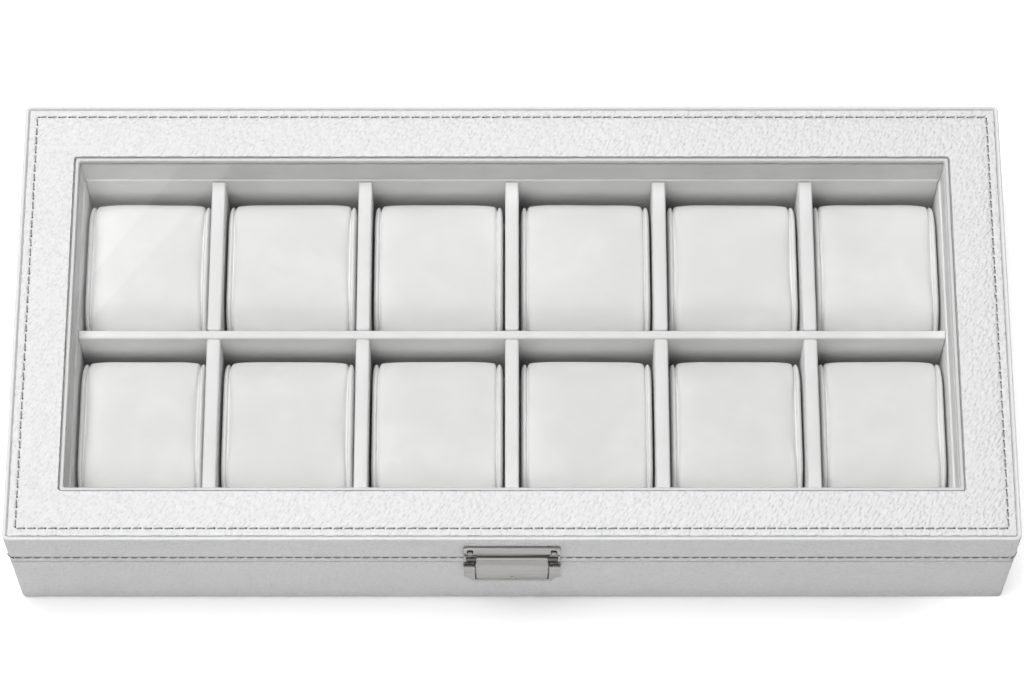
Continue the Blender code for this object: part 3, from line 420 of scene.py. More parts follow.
def blend_colours(tree, factor, low, high):
    """A colour between two, each a plain colour or a socket, by a factor from the pattern."""
    low, high = ((*colour, 1.0) if isinstance(colour, tuple) else colour for colour in (low, high))
    sources = {0: factor, COLOUR_A: low, COLOUR_B: high}
    return add_node(tree, "Mix", sources, data_type="RGBA").outputs[MIXED_COLOUR]


def spread_value(tree, factor, low, high):
    """A value between two, by a factor from the pattern."""
    return add_node(tree, "MapRange", {"Value": factor, "To Min": low, "To Max": high}).outputs["Result"]


def height_step(tree, place, start, end):
    """A soft step over the height, from 0 at start to 1 at end."""
    parts = add_node(tree, "SeparateXYZ", {0: place})
    return ramp(tree, parts.outputs["Z"], start, end)


def finish_surface(tree, shader, colour, height, depth, strength, rough=None):
    """Gives the shader its colour, the pattern's relief and, where it varies, its roughness."""
    tree.links.new(colour, shader.inputs["Base Color"])
    if rough is not None:
        tree.links.new(rough, shader.inputs["Roughness"])
    sources = {"Height": height, "Distance": depth, "Strength": strength}
    bump = add_node(tree, "Bump", sources)
    tree.links.new(bump.outputs["Normal"], shader.inputs["Normal"])


def show(tree, node):
    """Makes a node's shader the surface of its material."""
    tree.links.new(node.outputs[0], tree.nodes["Material Output"].inputs["Surface"])


def mix_shaders(tree, factor, low, high):
    return add_node(tree, "MixShader", {0: factor, 1: low.outputs[0], 2: high.outputs[0]})


def leather_material(name, pale, deep, depth, smooth_height, grained_height, pebble=PEBBLE_SIZE):
    """White leatherette with pressed pebbles, and painted shade a little darker in its creases. The grain
    grows from none at the smooth height, where the leather is stretched round an edge, to all of it at the
    grained height."""
    material, tree, shader, place = start_material(name, Roughness=0.5, Specular_IOR_Level=0.4)
    sources = {"Vector": place, "Rotation": (0.0, 0.0, radians(GRAIN_TURN)), "Scale": GRAIN_STRETCH}
    turned = add_node(tree, "Mapping", sources, vector_type="TEXTURE").outputs["Vector"]
    grain = use_group(tree, "pebble", turned, Pebble_Size=pebble, Wander=GRAIN_WANDER)
    clouds = use_group(tree, "clouds", place, Cloud_Size=0.06)
    soiled = blend_colours(tree, clouds["Cloud"], deep, pale)
    # painted shade: the creases are tinted a little darker
    colour = blend_colours(tree, grain["Crease"], soiled, shaded(deep, PAINTED_CREASE_SHADE))
    rough = spread_value(tree, grain["Height"], 0.62, 0.44)
    grown = height_step(tree, place, smooth_height, grained_height)
    relief_and_painted_shade = calc(tree, "MULTIPLY", grain["Height"], grown)
    finish_surface(tree, shader, colour, relief_and_painted_shade, depth, 0.8, rough)
    return material


def nap_material(name, pale, deep, fibre, patch, depth, sheen, painted_shade=None):
    """Velvet, suede or felt: matt, with a soft sheen and a nap that lies unevenly. painted_shade gives the
    heights between which painted shade grows from none to full, and the share of the tone that is left there."""
    material, tree, shader, place = start_material(
        name, Roughness=0.9, Sheen_Weight=sheen, Sheen_Roughness=0.45, Specular_IOR_Level=0.12,
    )
    nap = use_group(tree, "nap", place, Fibre_Size=fibre, Patch_Size=patch)
    clouds = use_group(tree, "clouds", place, Cloud_Size=0.03)
    patched = blend_colours(tree, nap["Patch"], deep, pale)
    colour = blend_colours(tree, clouds["Cloud"], shaded(deep, 0.96), patched)
    if painted_shade is not None:
        # painted shade: the velvet is tinted darker towards the bottom of the cells, standing in for the
        # shade there
        shade_start_height, shade_full_height, share = painted_shade
        relief_and_painted_shade = height_step(tree, place, shade_start_height, shade_full_height)
        colour = blend_colours(tree, relief_and_painted_shade, colour, shaded(deep, share))
    rough = spread_value(tree, nap["Patch"], 0.98, 0.86)
    finish_surface(tree, shader, colour, nap["Height"], depth, 0.7, rough)
    return material


def nickel_material(name, pale, deep, roughness):
    """Satin nickel plate with drawn lines and slightly dulled patches."""
    material, tree, shader, place = start_material(name, Roughness=roughness, Metallic=1.0)
    lines = use_group(tree, "lines", place, Line_Size=0.0004, Line_Length=0.05)
    clouds = use_group(tree, "clouds", place, Cloud_Size=0.02)
    streaks = ramp(tree, lines["Height"], 0.3, 0.7)
    colour = blend_colours(tree, streaks, deep, pale)
    rough = spread_value(tree, clouds["Cloud"], roughness * 1.15, roughness * 0.9)
    finish_surface(tree, shader, colour, lines["Height"], 0.00001, 0.3, rough)
    return material


def glass_material(name):
    """Clear window glass that lets the lamps' light through to what lies under it."""
    material, tree, shader, place = start_material(
        name, Base_Color=(1.0, 1.0, 1.0, 1.0), Roughness=0.0, Transmission_Weight=1.0, IOR=1.45,
    )
    clear = add_node(tree, "BsdfTransparent", {"Color": (0.97, 0.97, 0.97, 1.0)})
    path = add_node(tree, "LightPath").outputs
    either = calc(tree, "MAXIMUM", path["Is Shadow Ray"], path["Is Diffuse Ray"])
    show(tree, mix_shaders(tree, either, shader, clear))
    smears = use_group(tree, "clouds", place, Cloud_Size=0.08)
    tree.links.new(spread_value(tree, smears["Cloud"], 0.0, 0.03), shader.inputs["Roughness"])
    return material


def fibre_material(name, pale, deep, roughness, fibre, patch, depth, strength):
    """Matt fibres, as of thread or pressed board, with patches of a deeper tone."""
    material, tree, shader, place = start_material(name, Roughness=roughness)
    nap = use_group(tree, "nap", place, Fibre_Size=fibre, Patch_Size=patch)
    colour = blend_colours(tree, nap["Patch"], deep, pale)
    finish_surface(tree, shader, colour, nap["Height"], depth, strength)
    return material


PANEL_LEVEL = PANEL_TOP - PANEL_CROWN - PANEL_FALL
PALE_LEATHER, DEEP_LEATHER = (0.765, 0.765, 0.767), (0.745, 0.745, 0.747)
LEATHER_SKIN = leather_material(
    "white_leatherette", PALE_LEATHER, DEEP_LEATHER, depth=0.0006,
    smooth_height=PANEL_LEVEL - STRETCH_FADE, grained_height=PANEL_LEVEL,
)
STRETCHED_SKIN = leather_material(
    "stretched_leatherette", PALE_LEATHER, DEEP_LEATHER, depth=0.0004,
    smooth_height=LID_TOP - RIM_WIDTH, grained_height=LID_TOP - 2 * RIM_WIDTH,
)
TRIM_SKIN = leather_material(
    "smooth_edging", (0.64, 0.64, 0.642), (0.62, 0.62, 0.622), depth=0.00004,
    smooth_height=BODY_FOOT, grained_height=BODY_TOP, pebble=0.0009,
)
# The tray velvet carries painted shade that darkens it towards the bottom of the cells
TRAY_VELVET = nap_material(
    "tray_velvet", (0.83, 0.83, 0.825), (0.805, 0.805, 0.8), fibre=0.00045, patch=0.009, depth=0.00016,
    sheen=0.1, painted_shade=(LINING_TOP - SHADE_START_DEPTH, LINING_TOP - SHADE_FULL_DEPTH, PAINTED_SHADE_SHARE),
)
PILLOW_SUEDE = nap_material(
    "pillow_suede", (0.8, 0.8, 0.795), (0.77, 0.77, 0.765),
    fibre=0.0005, patch=0.012, depth=0.00018, sheen=0.12,
)
FOOT_FELT = nap_material(
    "foot_felt", (0.72, 0.72, 0.72), (0.62, 0.62, 0.62), fibre=0.0006, patch=0.004, depth=0.0004, sheen=0.2,
)
NICKEL = nickel_material("satin_nickel", (0.42, 0.41, 0.395), (0.3, 0.293, 0.282), roughness=0.14)
# Dark steel for the latch pin, painted darker to stand in for the shade of the gap round it behind the flap
DARK_STEEL_PAINTED_SHADE = nickel_material("dark_steel_painted_shade", (0.16, 0.155, 0.15), (0.1, 0.097, 0.093), roughness=0.3)
WINDOW_GLASS = glass_material("window_glass")
# The needle holes are near-black beads of painted shade
THREAD, NEEDLE_HOLE_SHADE = (
    fibre_material(
        name, colour, shaded(colour, 0.8),
        roughness=0.75, fibre=0.00012, patch=0.002, depth=0.00008, strength=0.8,
    )
    # the thread is grey, and painted darker than its own grey as painted shade for its furrow
    for name, colour in (("grey_thread_with_painted_shade", (0.27, 0.27, 0.275)), ("needle_hole_shade", (0.05, 0.05, 0.052)))
)
FIBREBOARD = fibre_material(
    "fibreboard", (0.47, 0.35, 0.23), (0.36, 0.26, 0.16),
    roughness=0.85, fibre=0.0007, patch=0.006, depth=0.0002, strength=0.6,
)


def mesh_from(bm, name):
    mesh = bpy.data.meshes.new(name)
    bm.to_mesh(mesh)
    bm.free()
    return mesh


def add_object(name, data):
    obj = bpy.data.objects.new(name, data)
    bpy.context.scene.collection.objects.link(obj)
    return obj


def make_piece(name, bm, materials, body, node=None, sharp=40.0):
    """The bmesh as a finished piece at the origin, riding on its body, and in the stead of a given node."""
    mesh = mesh_from(bm, name)
    obj = add_object(name, mesh)
    for material in materials:
        mesh.materials.append(material)
    mesh.shade_smooth()
    mesh.set_sharp_from_angle(angle=radians(sharp))
    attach(obj, body)
    if node is not None:
        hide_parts(node)
    return obj


def face_out(bm):
    """Points every face of a closed shape outwards."""
    bmesh.ops.recalc_face_normals(bm, faces=bm.faces)
    if bm.calc_volume(signed=True) < 0:
        bmesh.ops.reverse_faces(bm, faces=bm.faces)


def everything(bm):
    return [*bm.verts, *bm.edges, *bm.faces]


def extrude_faces(bm, faces):
    """Extrudes the faces and gives the new points."""
    grown = bmesh.ops.extrude_face_region(bm, geom=faces)["geom"]
    return [item for item in grown if isinstance(item, bmesh.types.BMVert)]


def round_edges(bm, edges, radius):
    bmesh.ops.bevel(bm, geom=edges, offset=radius, segments=4, profile=0.5, affect="EDGES", material=-1)


def rounded_outline(bm, section, steps, long_edge=1.0, cuts=0):
    """A loop of edges: a rectangle with round corners, with cuts in each side over the long edge length."""
    rect = section.rect
    places = (
        (rect.left, rect.front), (rect.right, rect.front), (rect.right, rect.back), (rect.left, rect.back),
    )
    face = bm.faces.new([bm.verts.new((x, y, section.z)) for x, y in places])
    bmesh.ops.bevel(
        bm, geom=list(face.verts), offset=section.radius, segments=steps, profile=0.5,
        affect="VERTICES", material=-1,
    )
    bmesh.ops.delete(bm, geom=list(bm.faces), context="FACES_ONLY")
    if cuts:
        longest = [edge for edge in bm.edges if edge.calc_length() > long_edge]
        bmesh.ops.subdivide_edges(bm, edges=longest, cuts=cuts)
    return list(bm.edges)


def carried(value, ends, radius, new_ends, new_radius):
    """One coordinate of a point on a rounded rectangle, taken to another rounded rectangle."""
    low, high = ends
    new_low, new_high = new_ends
    anchor = min(max(value, low + radius), high - radius)
    share = (anchor - low - radius) / (high - low - 2 * radius)
    new_anchor = new_low + new_radius + share * (new_high - new_low - 2 * new_radius)
    return new_anchor + (value - anchor) / radius * new_radius


def carry(bm, edges, old, new):
    """Extrudes a loop of edges and takes it from one rounded rectangle to another."""
    grown = bmesh.ops.extrude_edge_only(bm, edges=edges)["geom"]
    for vert in grown:
        if isinstance(vert, bmesh.types.BMVert):
            x = carried(vert.co.x, old.rect[:2], old.radius, new.rect[:2], new.radius)
            y = carried(vert.co.y, old.rect[2:], old.radius, new.rect[2:], new.radius)
            vert.co = (x, y, new.z)
    return [edge for edge in grown if isinstance(edge, bmesh.types.BMEdge) and edge.is_boundary]


def swept_frame(sections, corner_steps=8):
    """A closed frame whose outline runs through the sections and back to the first one."""
    bm = bmesh.new()
    edges = rounded_outline(bm, sections[0], corner_steps)
    for old, new in zip(sections, sections[1:] + sections[:1]):
        edges = carry(bm, edges, old, new)
    bmesh.ops.remove_doubles(bm, verts=bm.verts, dist=SAME_PLACE)
    face_out(bm)
    return bm


def inner_section(rect, distance, z):
    """The section of a wall at a distance inside the rect, round the same outer corner."""
    return Section(inset(rect, distance), z, OUTER_CORNER - distance)


def fold_sections(rect, z, radius, corner, start, end, steps=4):
    """Sections round a fold: rect and z are those of the fold's centre line, and angles are in degrees,
    0 pointing out of the box and 90 up."""
    found = []
    for step in range(steps + 1):
        turn = radians(start + (end - start) * step / steps)
        out = radius * math.cos(turn)
        corner_there = max(corner + out, LEAST_CORNER)
        found.append(Section(inset(rect, -out), z + radius * math.sin(turn), corner_there))
    return found


def body_leather():
    outside = BODY_PLAN
    lining = inset(LINING_OUTSIDE, -GLUE)
    turned_in = inset(outside, FELT_INSET - GLUE)
    folded = inset(outside, FOLD)
    pared = inset(outside, PARED_DEPTH)
    sections = [
        *fold_sections(folded, BODY_FOOT + FOLD, FOLD, OUTER_CORNER - FOLD, -90, 0),
        Section(outside, BODY_TOP - PARED_HEIGHT, OUTER_CORNER),
        inner_section(outside, PARED_DEPTH, BODY_TOP - PARED_HEIGHT + PARED_DEPTH),
        *fold_sections(
            inset(pared, PARTING_FOLD), BODY_TOP - PARTING_FOLD, PARTING_FOLD,
            OUTER_CORNER - PARED_DEPTH - PARTING_FOLD, 0, 90,
        ),
        Section(lining, BODY_TOP),
        Section(lining, BODY_TOP - LEATHER),
        inner_section(outside, LEATHER, BODY_TOP - LEATHER),
        inner_section(outside, LEATHER, BODY_FOOT + LEATHER),
        Section(turned_in, BODY_FOOT + LEATHER, OUTER_CORNER),
        Section(turned_in, BODY_FOOT, OUTER_CORNER),
    ]
    make_piece("body_leather", swept_frame(sections), [STRETCHED_SKIN], "box", "base_leather_wrap")


def lid_leather():
    """The lid's side band with its stitched foot and raised rim, turned up inside."""
    outside = LID_PLAN
    inside = inset(RAIL_INSIDE, INNER_LEATHER + GLUE)
    rail_side = inset(RAIL_INSIDE, GLUE)
    bead = RIM_WIDTH / 2
    groove = inset(outside, RIM_WIDTH + GLUE * GROOVE_FILL_SHARE)
    turn_up = foot_of("lid_lining_left") - GLUE
    stitch_z = LID_FOOT + SIDE_STITCH_RISE
    sections = [
        *fold_sections(
            inset(outside, PARTING_FOLD), LID_FOOT + PARTING_FOLD, PARTING_FOLD,
            OUTER_CORNER - PARTING_FOLD, -90, 0,
        ),
        *(
            inner_section(outside, SIDE_FURROW_DEPTH * share, stitch_z + FURROW_HALF * rise)
            for rise, share in SIDE_FURROW
        ),
        *fold_sections(inset(outside, bead), LID_TOP - bead, bead, OUTER_CORNER - bead, 0, 180, 10),
        Section(groove, LID_TOP - GROOVE_DEPTH, OUTER_CORNER - RIM_WIDTH),
        Section(groove, LID_TOP - GROOVE_DEPTH - GLUE, OUTER_CORNER - RIM_WIDTH),
        inner_section(outside, RIM_WIDTH, LID_TOP - GROOVE_DEPTH - 2 * GLUE),
        inner_section(outside, RIM_WIDTH, LID_TOP - RIM_DEPTH),
        inner_section(outside, LEATHER, LID_TOP - RIM_DEPTH),
        inner_section(outside, LEATHER, LID_FOOT + LEATHER),
        Section(rail_side, LID_FOOT + LEATHER),
        Section(rail_side, turn_up),
        Section(inside, turn_up),
        Section(inside, LID_FOOT + FOLD),
        Section(inset(inside, -FOLD / 3), LID_FOOT + FOLD / 3),
        Section(inset(inside, -FOLD), LID_FOOT),
    ]
    make_piece("lid_leather", swept_frame(sections), [STRETCHED_SKIN], "lid", "lid_leather_wrap")


def window_border():
    """The padded border: a rolled outer edge, the stitched furrow, a low crown and the roll at the window."""
    outer = plan_of("lid_panel")
    window = Rect(
        TRIM_PLAN.left - WINDOW_GAP, TRIM_PLAN.right + WINDOW_GAP,
        TRIM_PLAN.front - FRONT_WINDOW_GAP, TRIM_PLAN.back + WINDOW_GAP,
    )
    stitch = inset(LID_PLAN, STITCH_INSET)
    top = PANEL_TOP - PANEL_CROWN
    sections = [
        Section(outer, PANEL_FOOT, PANEL_CORNER),
        *fold_sections(
            inset(outer, PANEL_ROLL), top - PANEL_ROLL, PANEL_ROLL, PANEL_CORNER - PANEL_ROLL,
            0, 90, PANEL_STEPS,
        ),
    ]
    for way, share in PANEL_FURROW:
        line = inset(stitch, FURROW_HALF * way)
        sections.append(Section(line, top - FURROW_DEPTH * share, PANEL_CORNER))
    for share, rise in ((0.25, 0.75), (0.5, 1.0), (0.78, 0.8)):
        rect = Rect(*(start + share * (end - start) for start, end in zip(stitch, window)))
        sections.append(Section(rect, top + PANEL_CROWN * rise, WINDOW_CORNER + WINDOW_ROLL))
    for step in range(PANEL_STEPS + 1):
        turn = radians(90 * step / PANEL_STEPS)
        rolled = WINDOW_ROLL * (1 - math.sin(turn))
        z = top - WINDOW_ROLL * (1 - math.cos(turn))
        sections.append(Section(inset(window, -rolled), z, WINDOW_CORNER + rolled))
    sections.append(Section(window, PANEL_FOOT, WINDOW_CORNER))
    make_piece("window_border", swept_frame(sections), [LEATHER_SKIN], "lid", "lid_panel")


def window_edging():
    """The smooth bead that holds the glass."""
    foot = foot_of("window_trim")
    top = top_of("window_trim")
    ridge = inset(TRIM_PLAN, TRIM_RIDGE)
    soft = TRIM_SOFTNESS
    sections = [
        Section(TRIM_PLAN, foot),
        Section(TRIM_PLAN, top - soft),
        *fold_sections(inset(TRIM_PLAN, soft), top - soft, soft, INNER_CORNER - soft, 0, 90),
        Section(inset(ridge, -soft), top),
        Section(inset(ridge, -soft / 3), top - soft / 4),
        Section(ridge, top - soft),
        Section(VIEW, foot + soft),
        Section(VIEW, foot),
    ]
    make_piece("window_edging", swept_frame(sections), [TRIM_SKIN], "lid", "window_trim")


def stitch_places(rect, corner, pitch):
    """Places and directions of stitches round a rounded rectangle, as (x, y, angle)."""
    runs = (
        (rect.left + corner, rect.front, rect.right - corner, rect.front, 0),
        (rect.right, rect.front + corner, rect.right, rect.back - corner, 90),
        (rect.right - corner, rect.back, rect.left + corner, rect.back, 180),
        (rect.left, rect.back - corner, rect.left, rect.front + corner, 270),
    )
    places = []
    for x, y, end_x, end_y, angle in runs:
        start = Vector((x, y))
        end = Vector((end_x, end_y))
        count = round((end - start).length / pitch)
        for index in range(count):
            place = start.lerp(end, (index + 0.5) / count)
            places.append((place.x, place.y, angle))
        if corner > 0:
            forward = (end - start).normalized()
            inwards = Vector((-forward.y, forward.x))
            middle = end + (inwards + (forward - inwards) / math.sqrt(2)) * corner
            places.append((middle.x, middle.y, angle + 45))
    return places


def bead_mesh(place, size, segments, material_index):
    """An oval bead of three half sizes, its long axis along X."""
    bm = bmesh.new()
    matrix = place @ Matrix.Diagonal((*size, 1.0)) @ Matrix.Rotation(radians(90), 4, "Y")
    rings = segments // 2 + 1
    bmesh.ops.create_uvsphere(bm, u_segments=segments, v_segments=rings, radius=1.0, matrix=matrix)
    for face in bm.faces:
        face.material_index = material_index
    return mesh_from(bm, "bead")


def add_copy(bm, mesh, place):
    """Joins a copy of the mesh to the bmesh, in its place."""
    copy = mesh.copy()
    copy.transform(place)
    bm.from_mesh(copy)
    bpy.data.meshes.remove(copy)


def stitch_row(name, rect, corner, z, pitch, length, half, slope, facing):
    """A row of stitches round the lid, each with a near-black bead at its end, painted shade for its needle
    hole. facing is up for stitches that show from above, else out. slope is their slant in degrees."""
    rng = random.Random(STITCH_SEED)
    bm = bmesh.new()
    back = Matrix.Translation((-HOLE_RADIUS * 0.4, 0, 0))
    thread = bead_mesh(back, (length / 2, half, half * 0.8), 8, 0)
    sunk = Matrix.Translation((length / 2 - HOLE_RADIUS * 0.2, 0, -half * 0.5))
    # painted shade: a near-black bead stands in for the shade inside the needle hole
    hole = bead_mesh(sunk, (HOLE_RADIUS, HOLE_RADIUS * 0.85, HOLE_RADIUS * 0.6), 6, 1)
    for x, y, angle in stitch_places(rect, corner, pitch):
        turn = Matrix.Rotation(radians(angle), 4, "Z")
        lay = turn if facing == "up" else turn @ Matrix.Rotation(radians(90), 4, "X")
        slant_now = slope + rng.uniform(-STITCH_SLANT_SPREAD, STITCH_SLANT_SPREAD)
        slant = Matrix.Rotation(radians(slant_now), 4, "Z")
        place = Matrix.Translation((x, y, z)) @ lay @ slant
        grow = rng.uniform(*STITCH_LENGTH_SPREAD)
        add_copy(bm, thread, place @ Matrix.Diagonal((grow, 1.0, 1.0, 1.0)))
        add_copy(bm, hole, place)
    for mesh in (thread, hole):
        bpy.data.meshes.remove(mesh)
    make_piece(name, bm, [THREAD, NEEDLE_HOLE_SHADE], "lid", sharp=80)


def soft_board(name, low, high, mitres, radius, node):
    """A velvet-covered board with soft edges. mitres are planes, (point, direction), that cut its ends."""
    bm = bmesh.new()
    middle = (Vector(low) + Vector(high)) / 2
    size = Vector(high) - Vector(low)
    bmesh.ops.create_cube(bm, size=1.0, matrix=Matrix.Translation(middle) @ Matrix.Diagonal((*size, 1.0)))
    for point, way in mitres:
        cut = bmesh.ops.bisect_plane(
            bm, geom=everything(bm), plane_co=point, plane_no=way, clear_outer=True,
        )
        edges = [item for item in cut["geom_cut"] if isinstance(item, bmesh.types.BMEdge)]
        bmesh.ops.edgenet_fill(bm, edges=edges)
    face_out(bm)
    top = high[2]
    along = [
        edge for edge in bm.edges
        if all(abs(vert.co.z - top) < SAME_PLACE for vert in edge.verts) and edge.calc_length() > 8 * radius
    ]
    round_edges(bm, along, radius)
    make_piece(name, bm, [TRAY_VELVET], "box", node)


def lining_boards():
    """The tray's four mitred lining boards."""
    outward = {
        "front": Vector((0, -1, 0)), "back": Vector((0, 1, 0)),
        "left": Vector((-1, 0, 0)), "right": Vector((1, 0, 0)),
    }
    opposite = {"front": "back", "back": "front", "left": "right", "right": "left"}
    half_joint = GLUE / 2
    for side, out in outward.items():
        plan = LINING_OUTSIDE._replace(**{opposite[side]: getattr(CAVITY, side)})
        mitres = []
        for end, along in outward.items():
            if end in (side, opposite[side]):
                continue
            across, deep = (side, end) if out.x else (end, side)
            corner = Vector((getattr(CAVITY, across), getattr(CAVITY, deep), 0))
            direction = (along - out).normalized()
            mitres.append((corner - direction * half_joint, direction))
        low = (plan.left, plan.front, LINING_FOOT)
        high = (plan.right, plan.back, LINING_TOP)
        soft_board(f"tray_lining_{side}", low, high, mitres, LINING_EDGE, f"lining_{side}")


def divider_boards():
    """The grid's fabric-covered boards. The cross dividers are cut down where the long one lies on them."""
    low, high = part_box("long_divider")
    soft_board("soft_long_divider", low, high, [], DIVIDER_EDGE, "long_divider")
    middle = (low.z + high.z) / 2
    for number in CROSS_DIVIDERS:
        node = f"cross_divider_{number}"
        start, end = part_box(node)
        side_view = (
            (start.y, start.z), (end.y, start.z), (end.y, end.z), (high.y + SEAM, end.z),
            (high.y + SEAM, middle), (low.y - SEAM, middle), (low.y - SEAM, end.z), (start.y, end.z),
        )
        bm = bmesh.new()
        face = bm.faces.new([bm.verts.new((start.x, y, z)) for y, z in side_view])
        bmesh.ops.translate(bm, vec=(end.x - start.x, 0, 0), verts=extrude_faces(bm, [face]))
        face_out(bm)
        raised = [
            edge for edge in bm.edges
            if (max(vert.co.z for vert in edge.verts) > middle + SEAM
                and all(abs(vert.co.y) < end.y - SEAM for vert in edge.verts))
            or all(abs(vert.co.z - end.z) < SEAM for vert in edge.verts)
        ]
        round_edges(bm, raised, DIVIDER_EDGE)
        make_piece(f"soft_{node}", bm, [TRAY_VELVET], "box", node)


def polished(node, body, extra=None):
    """A metal node's own form with its facets shaded as the smooth metal they stand for. extra is a closed
    mesh that stands on it."""
    bm = bmesh.new()
    bm.from_mesh(frame["nodes"][node].data)
    bmesh.ops.remove_doubles(bm, verts=bm.verts, dist=SAME_PLACE)
    bmesh.ops.dissolve_limit(bm, angle_limit=radians(0.5), verts=bm.verts, edges=bm.edges)
    face_out(bm)
    if extra is not None:
        bm.from_mesh(extra)
        bpy.data.meshes.remove(extra)
    piece = make_piece(f"polished_{node}", bm, [NICKEL], body, node, METAL_SHARP)
    evened = piece.modifiers.new("evened", "WEIGHTED_NORMAL")
    evened.keep_sharp = True
    evened.weight = 100
    return piece


def round_screw(node, body):
    """A round-headed screw with a centre mark, turned in place of its node."""
    low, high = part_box(node)
    middle = (low + high) / 2
    radius = (high.x - low.x) / 2
    seat = low.y + HEAD_SEAT
    bm = bmesh.new()
    verts = [
        bm.verts.new((middle.x + out * radius, y, middle.z))
        for out, y in (
            (0.0, high.y), (0.5, high.y), (0.5, seat), (1.0, seat), (1.0, seat - HEAD_RIM),
            (0.94, seat - HEAD_RIM), (HEAD_SHARE, seat),
            *((HEAD_SHARE * math.cos(turn), seat - HEAD_DOME * math.sin(turn)) for turn in HEAD_TURNS),
            (MARK_SHARE, seat - HEAD_DOME), (MARK_SHARE * 0.7, seat - HEAD_DOME * 0.7),
            (0.0, seat - HEAD_DOME * 0.7),
        )
    ]
    edges = [bm.edges.new(pair) for pair in zip(verts, verts[1:])]
    turn = {"axis": (0, 1, 0), "angle": radians(360), "steps": 32, "use_merge": True}
    bmesh.ops.spin(bm, geom=verts + edges, cent=middle, **turn)
    bmesh.ops.remove_doubles(bm, verts=bm.verts, dist=SAME_PLACE)
    face_out(bm)
    make_piece(f"round_{node}", bm, [NICKEL], body, node, METAL_SHARP)


def metalwork():
    """The latch and the hinges."""
    low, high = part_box("latch_flap")
    boss = bead_mesh(Matrix.Translation((0, low.y + BOSS_DEPTH, low.z + BOSS_RISE)), BOSS_SIZE, 24, 0)
    polished("latch_flap", "latch_flap", boss)
    polished("latch_upper_plate", "lid")
    # painted shade: the pin's dark steel also stands in for the shade in the gap round it
    polished("latch_pin", "lid").data.materials[0] = DARK_STEEL_PAINTED_SHADE
    polished("latch_lower_plate", "box")
    for side in ("left", "right"):
        round_screw(f"latch_upper_screw_{side}", "lid")
        polished(f"latch_lower_screw_{side}", "box")
        polished(f"hinge_{side}_body_leaf", "box")
        polished(f"hinge_{side}_pin", "box")
        polished(f"hinge_{side}_lid_leaf", "lid")


def pillow_blank(half_width, half_length, height):
    """A pillow before it is stuffed: an end face, its rolled edge, the seam, and the cover between seams."""
    full = inset(Rect(-half_length, half_length, 0.0, height), COVER_SWELL * 0.7)
    stations = [(half_width - x, depth) for x, depth in PILLOW_END]
    stations += [(-x, depth) for x, depth in reversed(stations)]
    sections = [Section(inset(full, depth), x, PILLOW_CORNER - depth) for x, depth in stations]
    bm = bmesh.new()
    edges = rounded_outline(bm, sections[0], steps=8, long_edge=0.005, cuts=8)
    first = list(edges)
    for old, new in zip(sections, sections[1:]):
        edges = carry(bm, edges, old, new)
    for ring in (first, edges):
        bmesh.ops.holes_fill(bm, edges=ring, sides=0)
    caps = [face for face in bm.faces if len(face.verts) > 4]
    bmesh.ops.poke(bm, faces=caps)
    stand_up = Matrix(((0, 0, 1, 0), (1, 0, 0, 0), (0, 1, 0, 0), (0, 0, 0, 1)))
    bmesh.ops.transform(bm, matrix=stand_up, verts=bm.verts)
    face_out(bm)
    return bm


def stuffed(bm, half_width):
    """The blank's points after its cover is blown up by cloth simulation, with the ends held at the seams."""
    mesh = bpy.data.meshes.new("pillow_blank")
    bm.to_mesh(mesh)
    rest = [vert.co.copy() for vert in mesh.vertices]
    mesh.transform(Matrix.Scale(SIMULATION_SCALE, 4))
    obj = add_object("pillow_blank", mesh)
    ends = [index for index, point in enumerate(rest) if abs(point.x) > half_width - SEAM_INSET - SEAM_HOLD]
    held = obj.vertex_groups.new(name="ends")
    held.add(ends, 1.0, "REPLACE")
    modifier = obj.modifiers.new("stuffing", "CLOTH")
    modifier.settings.use_pressure = True
    modifier.settings.uniform_pressure_force = SIMULATION_PRESSURE
    modifier.settings.vertex_group_mass = held.name
    modifier.settings.effector_weights.gravity = 0.0
    modifier.point_cache.frame_start = 1
    modifier.point_cache.frame_end = SIMULATION_FRAMES
    for number in range(1, SIMULATION_FRAMES + 1):
        bpy.context.scene.frame_set(number)
    shaped = obj.evaluated_get(bpy.context.evaluated_depsgraph_get())
    found = [vert.co / SIMULATION_SCALE for vert in shaped.data.vertices]
    bpy.data.objects.remove(obj)
    bpy.data.meshes.remove(mesh)
    bpy.context.scene.frame_set(1)
    places = []
    for before, after in zip(rest, found):
        move = after - before
        if move.length > COVER_SWELL:
            move *= COVER_SWELL / move.length
        places.append(before + move)
    return places


def dented(point, centre, half_width, height):
    """A pillow's point after handling: low bumps, faint at the foot and at the ends."""
    world = point + centre
    dent = noise.noise(world * DENTS_PER_METRE) * DENT
    dent += noise.noise(world * SMALL_DENTS_PER_METRE) * DENT * SMALL_DENT_SHARE
    away = (point - Vector((0, 0, height / 2))).normalized()
    rise = min(point.z / DENT_RISE, 1.0)
    across = min((half_width - abs(point.x)) / DENT_FADE, 1.0)
    return point + away * dent * rise * max(across, END_DENT_SHARE)


